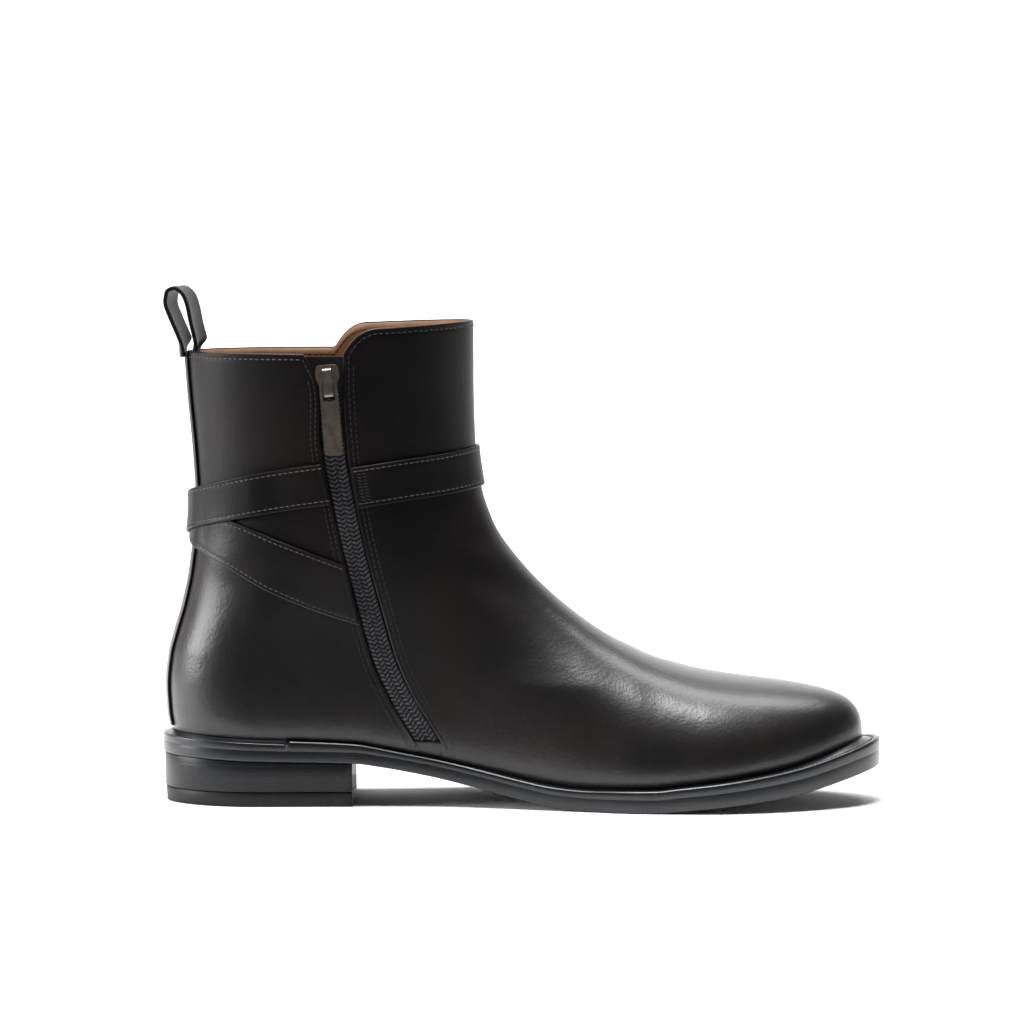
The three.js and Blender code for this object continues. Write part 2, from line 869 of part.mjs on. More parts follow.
// Straps: centre lines round the ankle, by half turns from the back and by height
const LONG_STRAP = [
  { turn: -1.47, height: 0.706 },
  { turn: -1.3, height: 0.727 },
  { turn: -1, height: 0.746 },
  { turn: -0.64, height: 0.739 },
  { turn: -0.46, height: 0.716 },
  { turn: -0.22, height: 0.67 },
  { turn: 0, height: 0.628 },
  { turn: 0.22, height: 0.58 },
  { turn: 0.35, height: 0.527 },
  { turn: 0.46, height: 0.477 },
  { turn: 0.56, height: 0.432 },
];
const BILLET = [
  { turn: -0.75, height: 0.412 },
  { turn: -0.54, height: 0.485 },
  { turn: -0.35, height: 0.556 },
  { turn: -0.22, height: 0.6 },
  { turn: 0, height: 0.641 },
  { turn: 0.22, height: 0.675 },
  { turn: 0.35, height: 0.697 },
  { turn: 0.46, height: 0.713 },
  { turn: 0.56, height: 0.724 },
];
const longStrapHeight = curveOf(LONG_STRAP, "turn", "height");
const billetHeight = curveOf(BILLET, "turn", "height");
const strapEndGap = 0.7;

function quarterEdge(z) {
  return turnAt(zipX(z) - slotHalf(z) - strapEndGap, z);
}

function frontPanelEdge(z) {
  return turnAt(zipX(z) + slotHalf(z) + strapEndGap, z) - 2 * Math.PI;
}

// Layers that a strap passes over: the back strip, the other strap and the chape
const stripLayer = backStripThickness + seam;
const strapLayer = strapThickness + lay;

// Turns at which a strap starts to come down from each of them, and the turns that this takes
const backStripTurn = 0.27;
const backStripEase = 0.2;
const crossingTurn = 0.92;
const crossingEase = 0.25;
const chapeTurn = 1.42;
const chapeEase = 0.22;

function overBackStrip(turn) {
  return stripLayer * (1 - smooth((Math.abs(turn) - backStripTurn) / backStripEase));
}

function overStrap(turn) {
  return strapLayer * (1 - smooth((Math.abs(turn) - crossingTurn) / crossingEase));
}

function overChape(turn) {
  return strapLayer * (1 - smooth((chapeTurn + turn) / chapeEase));
}

// A strap along its line, square to it, with ends that follow the edges they are sewn to
function strapGeometry({ steps, line, from, to, width, under }) {
  const heightAt = (turn) => rearCollarHeight * line(turn / Math.PI);
  return bandGeometry(steps, 2, (share, across, face) => {
    const start = from(heightAt(from(heightAt(0.5 * Math.PI))));
    const end = to(heightAt(to(heightAt(-0.5 * Math.PI))));
    const middle = mix(start, end, share);
    const z0 = heightAt(middle);
    const ahead = onSkin(middle + 0.03, z0);
    const behind = onSkin(middle - 0.03, z0);
    const run = Math.hypot(ahead.x - behind.x, ahead.y - behind.y);
    const climb = heightAt(middle + 0.03) - heightAt(middle - 0.03);
    const z = z0 + across * width(share) * Math.hypot(1, climb / run);
    const turn = mix(from(z), to(z), share);
    return offSkin(turn, z, lay + under(turn) + (face ? strapThickness : 0));
  });
}

// The long strap is wider where it starts at the zip, over this share of its length
const widePart = 0.2;
add(
  "strap_long",
  strapGeometry({
    steps: 54,
    line: longStrapHeight,
    from: quarterEdge,
    to: frontPanelEdge,
    width: (share) => mix(strapEndWidth, strapWidth, smooth(share / widePart)),
    under: overBackStrip,
  }),
  darkLeather
);

const billetTip = -0.64 * Math.PI;
const tipShare = 0.94;
add(
  "strap_billet",
  strapGeometry({
    steps: 36,
    line: billetHeight,
    from: quarterEdge,
    to: () => billetTip,
    width: (share) => strapWidth * (1 - 0.7 * smooth((share - tipShare) / (1 - tipShare))),
    under: (turn) => overBackStrip(turn) + overStrap(turn) + overChape(turn),
  }),
  darkLeather
);

const chapeFrom = -0.475 * Math.PI;
const chapeTo = -0.72 * Math.PI;
add(
  "strap_chape",
  strapGeometry({
    steps: 10,
    line: billetHeight,
    from: () => chapeFrom,
    to: () => chapeTo,
    width: () => strapWidth,
    under: () => 0,
  }),
  darkLeather
);

// A frame on the skin: its first axis across, its second along and its third outwards
function frameOn(point, up, out) {
  const n = out.clone().normalize();
  const u = up.clone().addScaledVector(n, -up.dot(n)).normalize();
  const r = new THREE.Vector3().crossVectors(u, n);
  return new THREE.Matrix4().makeBasis(r, u, n).setPosition(point);
}

function frameOnStrap(turn) {
  const height = (at) => rearCollarHeight * billetHeight(at / Math.PI);
  const ahead = onSkin(turn + 0.03, height(turn + 0.03));
  const behind = onSkin(turn - 0.03, height(turn - 0.03));
  const z = height(turn);
  return frameOn(onSkin(turn, z), ahead.sub(behind), skinNormal(turn, z));
}

// A flat plate in a frame: an outline across and along, between two distances outwards
function plateIn(frame, shape, low, high) {
  const plate = new THREE.ExtrudeGeometry(shape, {
    depth: high - low,
    bevelEnabled: false,
    curveSegments: 5,
  });
  plate.translate(0, 0, low);
  plate.deleteAttribute("normal");
  plate.deleteAttribute("uv");
  return mergeVertices(plate).applyMatrix4(frame);
}

function roundedBox(width, low, high, radius) {
  const half = width / 2;
  const shape = new THREE.Shape();
  shape.moveTo(-half + radius, low);
  shape.lineTo(half - radius, low);
  shape.absarc(half - radius, low + radius, radius, -Math.PI / 2, 0, false);
  shape.lineTo(half, high - radius);
  shape.absarc(half - radius, high - radius, radius, 0, Math.PI / 2, false);
  shape.lineTo(-half + radius, high);
  shape.absarc(-half + radius, high - radius, radius, Math.PI / 2, Math.PI, false);
  shape.lineTo(-half, low + radius);
  shape.absarc(-half + radius, low + radius, radius, Math.PI, 1.5 * Math.PI, false);
  return shape;
}

// Buckle: a frame on the billet, its prong across the frame, and a keeper over the billet's tip
const buckleTurn = -0.535 * Math.PI;
const buckleFrame = frameOnStrap(buckleTurn);
const billetFace = 2 * (lay + strapThickness);
const buckleSeat = billetFace + sideGap + 0.3;
const ring = roundedBox(strapWidth + 2 * buckleWire, -buckleLength / 2, buckleLength / 2, 3);
ring.holes.push(
  roundedBox(strapWidth, buckleWire - buckleLength / 2, buckleLength / 2 - buckleWire, 1.5)
);
add("buckle_frame", plateIn(buckleFrame, ring, buckleSeat, buckleSeat + buckleWire * 0.8), gunmetal);

const prongSeat = buckleSeat + buckleWire * 0.8 + seam;
const prong = roundedBox(1.9, -buckleLength / 2 + 0.4, buckleLength / 2 - 0.4, 0.9);
add("buckle_prong", plateIn(buckleFrame, prong, prongSeat, prongSeat + 1.4), gunmetal);

const keeperTurn = -0.605 * Math.PI;
const keeperFrame = frameOnStrap(keeperTurn);
const keeperLength = 6;
const keeperThickness = 1.2;
const keeperInside = billetFace + sideGap;

function keeperShape() {
  const half = strapWidth / 2 + sideGap;
  const edge = half + keeperThickness;
  const top = keeperInside + keeperThickness;
  const shape = new THREE.Shape();
  shape.moveTo(-edge, lay);
  shape.lineTo(-half, lay);
  shape.lineTo(-half, keeperInside);
  shape.lineTo(half, keeperInside);
  shape.lineTo(half, lay);
  shape.lineTo(edge, lay);
  shape.lineTo(edge, top - 0.6);
  shape.lineTo(edge - 0.6, top);
  shape.lineTo(0.6 - edge, top);
  shape.lineTo(-edge, top - 0.6);
  return shape;
}

const keeperTurned = keeperFrame
  .clone()
  .multiply(new THREE.Matrix4().makeRotationX(Math.PI / 2));
add(
  "strap_keeper",
  plateIn(keeperTurned, keeperShape(), -keeperLength / 2, keeperLength / 2),
  darkLeather
);

// Zip: the tape behind the slot and the chain of coils in it
const tapeFace = -wall - lay;
const tapeFoot = slotEnd - 1.5;
const tapeTop = rearCollarHeight - 1.2;
add(
  "zip_tape",
  bandGeometry(16, 4, (share, across, face) => {
    const z = mix(tapeFoot, tapeTop, share);
    return besideZip(tapeWidth * across, z, tapeFace - (face ? 0 : tapeThickness));
  }),
  tapeFabric
);

const chainBack = tapeFace + seam;
add(
  "zip_chain",
  bandGeometry(24, 2, (share, across, face) => {
    const z = mix(slotEnd + 0.8, sliderHeight - 1, share);
    return besideZip(chainWidth * across, z, chainBack + (face ? chainThickness : 0));
  }),
  tapeFabric
);

// Slider: a plate on the chain that narrows downwards, with a crown that holds the pull tab
const sliderUp = besideZip(0, sliderHeight + 3, 0).sub(besideZip(0, sliderHeight - 3, 0));
const sliderSkin = besideZip(0, sliderHeight, 0);
const sliderOut = skinNormal(turnAt(sliderSkin.x, sliderHeight), sliderHeight);
const sliderFrame = frameOn(sliderSkin, sliderUp, sliderOut);
const plateLow = chainBack + chainThickness + seam + 0.1;
const plateHigh = plateLow + sliderThickness;

function sliderShape() {
  const half = sliderWidth / 2;
  const end = sliderLength / 2;
  const shape = new THREE.Shape();
  shape.moveTo(-half * 0.66, -end);
  shape.lineTo(half * 0.66, -end);
  shape.lineTo(half * 0.78, -end * 0.2);
  shape.lineTo(half, end * 0.15);
  shape.lineTo(half, end * 0.6);
  shape.quadraticCurveTo(half, end, half * 0.5, end);
  shape.lineTo(-half * 0.5, end);
  shape.quadraticCurveTo(-half, end, -half, end * 0.6);
  shape.lineTo(-half, end * 0.15);
  shape.lineTo(-half * 0.78, -end * 0.2);
  return shape;
}

// Pull tab: a bar in the crown, a window round the crown's foot and a long flat tongue
const pullClearance = 0.5;
const pullLow = plateHigh + pullClearance;
const pullAxisOut = pullLow + pullThickness / 2;
const crownInside = pullLow + pullThickness + pullClearance;
const crownThickness = crownRise - pullThickness - 2 * pullClearance;
const crownFoot = sliderLength / 2;
const crownHead = sliderLength / 2 - 1.2;

function crownShape() {
  const leg = crownThickness;
  const top = crownInside + crownThickness;
  const sunk = plateHigh - sliderThickness / 2;
  const shape = new THREE.Shape();
  shape.moveTo(-crownFoot, sunk);
  shape.lineTo(leg - crownFoot, sunk);
  shape.lineTo(leg - crownFoot, crownInside - 0.4);
  shape.lineTo(leg + 0.4 - crownFoot, crownInside);
  shape.lineTo(crownHead - leg - 0.4, crownInside);
  shape.lineTo(crownHead - leg, crownInside - 0.4);
  shape.lineTo(crownHead - leg, sunk);
  shape.lineTo(crownHead, sunk);
  shape.lineTo(crownHead, crownInside - 0.2);
  shape.quadraticCurveTo(crownHead, top, crownHead - 1.6, top);
  shape.lineTo(1.6 - crownFoot, top);
  shape.quadraticCurveTo(-crownFoot, top, -crownFoot, crownInside - 0.2);
  return shape;
}

// The crown's outline lies along the slider and outwards, so its frame is the slider's, turned
const crownTurn = new THREE.Matrix4().makeBasis(
  new THREE.Vector3(0, 1, 0),
  new THREE.Vector3(0, 0, 1),
  new THREE.Vector3(1, 0, 0)
);
const crownFrame = sliderFrame.clone().multiply(crownTurn);
const sliderSolid = solidOf(plateIn(sliderFrame, sliderShape(), plateLow, plateHigh)).add(
  solidOf(plateIn(crownFrame, crownShape(), -crownWidth / 2, crownWidth / 2))
);
add("zip_slider", geometryOf(sliderSolid), gunmetal);

const pullBar = 0.8;
const pull = roundedBox(pullWidth, pullBar - pullLength, pullBar, 2.4);
pull.holes.push(roundedBox(windowWidth, -pullBar - windowLength, -pullBar, 1));
add("zip_pull", plateIn(sliderFrame, pull, pullLow, pullLow + pullThickness), gunmetal);

// Pull loop: a strap caught outside the back of the collar and sewn down inside it, standing up as
// a teardrop: places along its middle as shares of its rise, forward of the collar's back edge and
// above it
const LOOP_PATH = [
  { forward: -0.15, rise: 0.22 },
  { forward: -0.26, rise: 0.52 },
  { forward: -0.335, rise: 0.76 },
  { forward: -0.31, rise: 0.91 },
  { forward: -0.2, rise: 0.97 },
  { forward: -0.07, rise: 0.88 },
  { forward: 0.01, rise: 0.68 },
  { forward: 0.06, rise: 0.4 },
  { forward: 0.1, rise: 0.18 },
];

function loopCurve() {
  const at = (z, out) => new THREE.Vector3(backEdge(z) - out, 0, z);
  const outside = stripLayer + lay + loopThickness / 2;
  const inside = -wall - lay - loopThickness / 2;
  const top = rearCollarHeight;
  const points = [at(top - loopHem, outside), at(top, outside)];
  for (const { forward, rise } of LOOP_PATH) {
    points.push(new THREE.Vector3(backEdge(top) + forward * loopRise, 0, top + rise * loopRise));
  }
  points.push(at(top, inside), at(top - loopLeg / 2, inside), at(top - loopLeg, inside));
  return new THREE.CatmullRomCurve3(points, false, "centripetal");
}

const loopMiddle = loopCurve();
const collarRadius = (shaftWidth / 2) ** 2 / (shaftLength / 2);

// Above the collar the loop flattens and turns its outer edge forward, over these shares of its rise
const loopFlatness = 0.35;
const loopEase = 0.6;
const swingEase = 0.2;

add(
  "pull_loop",
  bandGeometry(26, 4, (share, across, face) => {
    const point = loopMiddle.getPointAt(share);
    const along = loopMiddle.getTangentAt(share);
    const y = across * loopWidth;
    const rise = (point.z - rearCollarHeight) / loopRise;
    const cup = (mix(1, loopFlatness, smooth(rise / loopEase)) * y * y) / (2 * collarRadius);
    const swing = loopSwing * (across + 0.5) * smooth(rise / swingEase);
    const out = (face ? 0.5 : -0.5) * loopThickness;
    return new THREE.Vector3(point.x - along.z * out + cup + swing, y, point.z + along.x * out);
  }),
  darkLeather
);

export default boot;
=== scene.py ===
"""A left jodhpur boot of burnished dark calf with a zip on its inner side, in metres.

+X runs from the heel to the toe, +Y to the outer side of the leg and +Z up. The floor is z = 0.
The surfaces are worked out in millimetres and turned into metres where a mesh is made.
"""

import math

import bpy
import numpy as np
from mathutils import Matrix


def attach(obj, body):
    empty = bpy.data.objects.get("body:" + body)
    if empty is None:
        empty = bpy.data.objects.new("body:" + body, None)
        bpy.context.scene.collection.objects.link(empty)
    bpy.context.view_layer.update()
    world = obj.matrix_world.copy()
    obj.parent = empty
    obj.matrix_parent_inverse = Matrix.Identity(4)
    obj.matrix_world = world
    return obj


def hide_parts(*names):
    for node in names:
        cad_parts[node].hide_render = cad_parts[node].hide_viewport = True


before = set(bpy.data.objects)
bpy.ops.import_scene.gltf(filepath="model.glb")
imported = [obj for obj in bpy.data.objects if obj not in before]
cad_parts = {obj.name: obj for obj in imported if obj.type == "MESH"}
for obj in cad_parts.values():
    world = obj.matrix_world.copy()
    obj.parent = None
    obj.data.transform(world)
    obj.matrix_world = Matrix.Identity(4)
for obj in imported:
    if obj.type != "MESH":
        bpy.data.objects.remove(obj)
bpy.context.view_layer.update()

# Upper, front panel and vamp
# One piece of burnished calf from the zip round the instep and the toe, about 1.2 mm thick.
# It is lasted over the insole, so that its lower edge turns in just above the welt.

UPPER_LENGTH = 289
UPPER_BACK = -36.2
UPPER_TOE = UPPER_BACK + UPPER_LENGTH
BALL_WIDTH = 96
HEEL_WIDTH = 63
SHAFT_WIDTH = 81
SHAFT_LENGTH = 120
REAR_COLLAR = 188
FRONT_COLLAR = 200.8
COLLAR_SLOPE = 2.1
WALL = 2.2
TOE_ROUND = 60
HEEL_ROUND = 36
TOE_SWING = 7
TUCK = 2
TUCK_HEIGHT = 5
HEEL_BREAST = 40
HEEL_HEIGHT = 18
TOE_SPRING = 15.5
OUTSOLE = 5.4
WELT = 3.3
SEAM = 0.25
LAY = 0.35
LEATHER = 1.15


def curve_of(rows, key, column):
    """The rows of a table joined by a smooth curve that never overshoots them."""
    x = np.array([row[key] for row in rows], float)
    y = np.array([row[column] for row in rows], float)
    slope = np.diff(y) / np.diff(x)
    tangent = np.empty_like(y)
    tangent[0], tangent[-1] = slope[0], slope[-1]
    for i in range(1, len(x) - 1):
        a, b = slope[i - 1], slope[i]
        tangent[i] = 0 if a * b <= 0 else 2 * a * b / (a + b)

    def value(at):
        at = np.clip(np.asarray(at, float), x[0], x[-1])
        i = np.clip(np.searchsorted(x, at, "right") - 1, 0, len(x) - 2)
        h = x[i + 1] - x[i]
        t = (at - x[i]) / h
        s = 1 - t
        rise = y[i] * (1 + 2 * t) * s * s + y[i + 1] * t * t * (3 - 2 * t)
        return rise + tangent[i] * h * t * s * s - tangent[i + 1] * h * t * t * s

    return value


def table(columns, *rows):
    """Rows of numbers as a list of records with named columns."""
    return [dict(zip(columns.split(), row)) for row in rows]


def mix(a, b, t):
    return a + (b - a) * t


def constant(value):
    return lambda z: value + 0 * z


def smooth(value):
    t = np.clip(value, 0, 1)
    return t * t * (3 - 2 * t)


def rounded_end(share):
    return np.sqrt(1 - (1 - np.clip(share, 0, 1)) ** 2)


# The last in the side view: the sole's line, its layers, the front edge and the back edge
SOLE_LINE = table(
    "along heel spring",
    (0, 1.133, 0), (0.125, 1.055, 0), (0.264, 1, 0), (0.309, 0.905, 0), (0.356, 0.772, 0),
    (0.402, 0.617, 0), (0.449, 0.444, 0), (0.516, 0.194, 0), (0.552, 0.083, 0),
    (0.585, 0.022, 0), (0.615, 0, 0), (0.695, 0, 0), (0.731, 0, 0.06), (0.79, 0, 0.17),
    (0.845, 0, 0.3), (0.9, 0, 0.47), (0.97, 0, 0.83), (1, 0, 1),
)
SOLE_LAYERS = table(
    "along outsole strip",
    (0, 0.815, 1.48), (0.17, 0.815, 1.3), (0.267, 0.83, 1.09), (0.35, 0.85, 0.85),
    (0.5, 0.93, 0.88), (0.62, 1, 1), (0.71, 1.03, 1.12), (0.79, 1.08, 1.2),
    (0.87, 1.12, 1.3), (0.94, 1.16, 1.4), (1, 1.2, 1.5),
)
FRONT_PROFILE = table(
    "reach rise",
    (0, 0), (0.0014, 0.03), (0.006, 0.0574), (0.0235, 0.0909), (0.0585, 0.1143),
    (0.111, 0.1315), (0.198, 0.1498), (0.25, 0.1651), (0.296, 0.1864), (0.331, 0.2097),
    (0.384, 0.2585), (0.424, 0.3062), (0.473, 0.3784), (0.5, 0.4271), (0.522, 0.4759),
    (0.537, 0.5236), (0.551, 0.5978), (0.56, 0.7115), (0.5625, 0.8598), (0.5627, 1.0305),
)
BACK_PROFILE = table(
    "rise forward",
    (0, 0), (0.048, -0.0041), (0.12, -0.0062), (0.2, -0.0017), (0.251, 0.0055),
    (0.334, 0.0186), (0.442, 0.0303), (0.6, 0.0389), (0.722, 0.0355), (0.9, 0.0269),
    (1.1, 0.019),
)
FOOT_PLAN = table(
    "along inner outer",
    (0, 0.65, 0.65), (0.12, 0.66, 0.67), (0.25, 0.64, 0.69), (0.38, 0.63, 0.75),
    (0.5, 0.73, 0.88), (0.6, 0.88, 0.98), (0.68, 0.98, 1.02), (0.76, 0.99, 0.98),
    (0.84, 0.92, 0.9), (0.92, 0.84, 0.82), (1, 0.78, 0.76),
)
LEG_SECTIONS = table(
    "rise width round",
    (0, 0.76, 0), (0.2, 0.8, 0.08), (0.44, 0.87, 0.5), (0.7, 0.94, 0.85), (1, 1, 1),
    (1.1, 1.01, 1),
)
heel_lift = curve_of(SOLE_LINE, "along", "heel")
spring_lift = curve_of(SOLE_LINE, "along", "spring")
outsole_share = curve_of(SOLE_LAYERS, "along", "outsole")
strip_share = curve_of(SOLE_LAYERS, "along", "strip")
back_forward = curve_of(BACK_PROFILE, "rise", "forward")
inner_plan = curve_of(FOOT_PLAN, "along", "inner")
outer_plan = curve_of(FOOT_PLAN, "along", "outer")
leg_width = curve_of(LEG_SECTIONS, "rise", "width")
leg_round = curve_of(LEG_SECTIONS, "rise", "round")


def along_of(x):
    return (x - UPPER_BACK) / UPPER_LENGTH


def sole_bottom(x):
    return HEEL_HEIGHT * heel_lift(along_of(x)) + TOE_SPRING * spring_lift(along_of(x))


def outsole_top(x):
    return sole_bottom(x) + OUTSOLE * outsole_share(along_of(x))


def strip_top(x):
    return outsole_top(x) + SEAM + WELT * strip_share(along_of(x))


def feather(x):
    """Height of the line where the upper meets the welt."""
    return strip_top(x) + SEAM


TOE_FEATHER = float(feather(UPPER_TOE))
HEEL_FEATHER = float(feather(UPPER_BACK))
FRONT_SPAN = FRONT_COLLAR - TOE_FEATHER
BACK_SPAN = REAR_COLLAR - HEEL_FEATHER


def front_edge():
    """The front edge sampled along its own length: run, x and z."""
    reach = np.array([row["reach"] for row in FRONT_PROFILE])
    rise = np.array([row["rise"] for row in FRONT_PROFILE])
    step = np.hypot(np.diff(reach) * UPPER_LENGTH, np.diff(rise) * FRONT_SPAN)
    chord = np.concatenate([[0], np.cumsum(step)])
    rows = [dict(row, run=run) for row, run in zip(FRONT_PROFILE, chord / chord[-1])]
    run = np.linspace(0, 1, 401)
    x = UPPER_TOE - UPPER_LENGTH * curve_of(rows, "run", "reach")(run)
    z = TOE_FEATHER + FRONT_SPAN * curve_of(rows, "run", "rise")(run)
    return run, x, z


EDGE_RUN, EDGE_X, EDGE_Z = front_edge()


def ridge(x):
    return np.interp(x, EDGE_X[::-1], EDGE_Z[::-1])


def front_at(z):
    return np.interp(z, EDGE_Z, EDGE_X)


def back_at(z):
    return UPPER_BACK + UPPER_LENGTH * back_forward((z - HEEL_FEATHER) / BACK_SPAN)


def ridge_line(x):
    return -TOE_SWING * smooth((x - HEEL_BREAST) / (UPPER_TOE - HEEL_BREAST))


def half_width(x, z, side):
    """Half width of the upper at a point of its side view, from the ridge line to one side."""
    low, top = feather(x), ridge(x)
    tucked = TUCK * np.exp(-np.maximum(0, z - low) / TUCK_HEIGHT)
    along = along_of(x)
    plan = np.where(side < 0, inner_plan(along), outer_plan(along))
    seat = HEEL_WIDTH / BALL_WIDTH / 0.65
    foot = BALL_WIDTH / 2 * plan * mix(seat, 1, smooth(along / 0.5))
    v = np.clip((z - low) / np.maximum(1e-6, top - low), 0, 1)
    arch = np.sqrt(np.maximum(0, 1 - v ** 2.3))
    fore = (foot - tucked) * rounded_end((UPPER_TOE - x) / TOE_ROUND) * arch
    rise = (z - HEEL_FEATHER) / BACK_SPAN
    leg = SHAFT_WIDTH / 2 * leg_width(rise)
    body = mix(foot, leg, smooth((rise - 0.05) / 0.45))
    back_length = mix(HEEL_ROUND, SHAFT_LENGTH / 2, leg_round(rise))
    edge = front_at(z)
    front_length = SHAFT_LENGTH / 2 + 0.5 * np.maximum(0, edge - EDGE_X[-1])
    back = rounded_end((x - back_at(z)) / back_length)
    front = rounded_end((edge - x) / front_length)
    return mix((body - tucked) * back * front, fore, smooth((along - 0.465) / 0.195))


def side_of(turn):
    """-1 on the inner side and 1 on the outer side, for a turn that starts at the back."""
    return np.where(np.sin(turn) < 0, 1.0, -1.0)


def skin(turn, z):
    """A point of the leg by turn and height: half a turn is the front, over the inner side."""
    side = side_of(turn)
    x = mix(back_at(z), front_at(z), (1 - np.cos(turn)) / 2)
    return np.stack([x, ridge_line(x) + side * half_width(x, z, side), z + 0 * x], -1)


def skin_normal(turn, z):
    along = skin(turn + 0.02, z) - skin(turn - 0.02, z)
    up = skin(turn, z + 1) - skin(turn, z - 1)
    n = np.cross(along, up)
    return n / np.linalg.norm(n, axis=-1, keepdims=True)


LOOP_SPACING = table(
    "step back run", (0, 0, 0), (0.16, 0.1, 0.085), (0.55, 0.44, 0.6), (1, 1.09, 0.995)
)
back_step = curve_of(LOOP_SPACING, "step", "back")
run_step = curve_of(LOOP_SPACING, "step", "run")


def loop_point(turn, step):
    """A point of the upper by turn and by step, from the feather line to above the collar."""
    z_back = HEEL_FEATHER + BACK_SPAN * back_step(step)
    x_back = back_at(z_back)
    x_front = np.interp(run_step(step), EDGE_RUN, EDGE_X)
    z_front = np.interp(run_step(step), EDGE_RUN, EDGE_Z)
    share = (1 - np.cos(turn)) / 2
    x = mix(x_back, x_front, share)
    chord = mix(feather(x_back), feather(x_front), share)
    sag = np.maximum(0, 1 - step / 0.6) ** 1.4
    z = mix(z_back, z_front, share) + sag * (feather(x) - chord)
    side = side_of(turn)
    return np.stack([x, ridge_line(x) + side * half_width(x, z, side), z], -1)


ZIP_LINE = table(
    "height lean flare",
    (0.136, 0.375, 1), (0.169, 0.362, 1), (0.236, 0.336, 1), (0.319, 0.311, 1.06),
    (0.415, 0.2925, 1.1), (0.543, 0.271, 1.04), (0.665, 0.254, 1.05), (0.771, 0.241, 1.2),
    (0.914, 0.233, 1.3), (0.977, 0.23, 1.5), (1.1, 0.229, 1.6),
)
SLOT_WIDTH = 9
SLOT_END = 27
zip_lean = curve_of(ZIP_LINE, "height", "lean")
zip_flare = curve_of(ZIP_LINE, "height", "flare")


def zip_x(z):
    return UPPER_BACK + UPPER_LENGTH * zip_lean(z / REAR_COLLAR)


def slot_half(z):
    return SLOT_WIDTH / 2 * zip_flare(z / REAR_COLLAR)


def zip_tilt(z):
    return np.hypot(1, (zip_x(z + 1) - zip_x(z - 1)) / 2)


def turn_at(x, z):
    """The turn of the point that the side view shows at x, on the inner side."""
    share = (x - back_at(z)) / (front_at(z) - back_at(z))
    return np.arccos(1 - 2 * np.clip(share, 0, 1))


def halved(f, low, high):
    """Where a rising function crosses zero, for arrays of brackets."""
    for _ in range(40):
        middle = (low + high) / 2
        below = f(middle) < 0
        low, high = np.where(below, middle, low), np.where(below, high, middle)
    return (low + high) / 2


STEPS = np.linspace(0, 1, 300)
TURNS = np.linspace(0, 2 * math.pi, 721)
COLLAR_STEP = 18
INNER_STEP = 37
OUTER_STEP = 31


def collar_height(x, side):
    """Collar: the front panel falls a little from its front, then steps down to the back."""
    start = np.where(side < 0, INNER_STEP, OUTER_STEP)
    q = np.clip((x - start) / COLLAR_STEP, 0, 1)
    fall = 1 - np.clip((x - start - COLLAR_STEP) / (EDGE_X[-1] - start - COLLAR_STEP), 0, 1)
    return mix(REAR_COLLAR, FRONT_COLLAR - COLLAR_SLOPE * fall, 1 - (1 - q) ** 3)


def collar_steps():
    def over(step):
        p = loop_point(TURNS, step)
        return p[..., 2] - collar_height(p[..., 0], side_of(TURNS))

    return halved(over, 0 * TURNS + 0.5, 0 * TURNS + 1.0)


COLLAR_STEPS = collar_steps()


def edge_turns(distance):
    """Turns of a line at a distance ahead of the zip's middle line, for each of the steps."""
    def ahead(share):
        p = loop_point(np.arccos(1 - 2 * share), STEPS)
        z = p[..., 2]
        return p[..., 0] - zip_x(z) - distance(z) * zip_tilt(z)

    return np.arccos(1 - 2 * halved(ahead, 0 * STEPS, 0 * STEPS + 1.0))


def edge_spread(length, count, first=0.1):
    """Shares from 0 to 1 that are close together at both ends, for a side of that length."""
    near = np.array([0, 0.6, 1.5, 3, 5, 8, 12, 17, 23, 30]) * first / length
    inner = np.linspace(near[-1], 1 - near[-1], count)
    return np.concatenate([near[:-1], inner, 1 - near[-2::-1]])


def panel_grid(u, q, start, end):
    """Turns and steps of a panel between two edges, with its rows up to the collar."""
    u, q = np.meshgrid(u, q)
    step = q.copy()
    for _ in range(12):
        turn = mix(np.interp(step, STEPS, start), np.interp(step, STEPS, end), u)
        step = q * np.interp(turn % (2 * math.pi), TURNS, COLLAR_STEPS)
    return turn, step


# Soft dents and folds of a boot that has been tried on: the place in the side view, the half
# lengths along and across each, its slope in degrees and its depth
FOLDS = table(
    "side x z long wide slope depth",
    (-1, 148, 57, 16, 6, -62, 0.35),
    (-1, 163, 48, 14, 5.5, -66, 0.18),
    (-1, 132, 66, 13, 6, -55, 0.2),
    (-1, 96, 93, 17, 6, -28, 0.7),
    (-1, 88, 112, 15, 5, -18, 0.35),
    (1, 150, 58, 16, 5, -62, 0.6),
    (1, 168, 48, 13, 5, -68, 0.4),
    (1, 96, 95, 17, 6, -28, 0.7),
    (-1, -8, 92, 13, 7, 12, 0.4),
    (1, -8, 92, 13, 7, 12, 0.4),
)


def fold_depth(p, side):
    total = np.zeros(p.shape[:-1])
    for fold in FOLDS:
        angle = math.radians(fold["slope"])
        dx, dz = p[..., 0] - fold["x"], p[..., 2] - fold["z"]
        a = (dx * math.cos(angle) + dz * math.sin(angle)) / fold["long"]
        b = (dz * math.cos(angle) - dx * math.sin(angle)) / fold["wide"]
        trough = np.exp(-a * a - b * b) - 0.45 * np.exp(-a * a - (np.abs(b) - 1.7) ** 2)
        total += np.where(side * fold["side"] > 0, fold["depth"] * trough, 0)
    return total


def grid_normals(points):
    """Unit normals of a grid of points, from its own rows and columns."""
    n = np.cross(np.gradient(points, axis=1), np.gradient(points, axis=0))
    return n / np.maximum(1e-9, np.linalg.norm(n, axis=-1, keepdims=True))


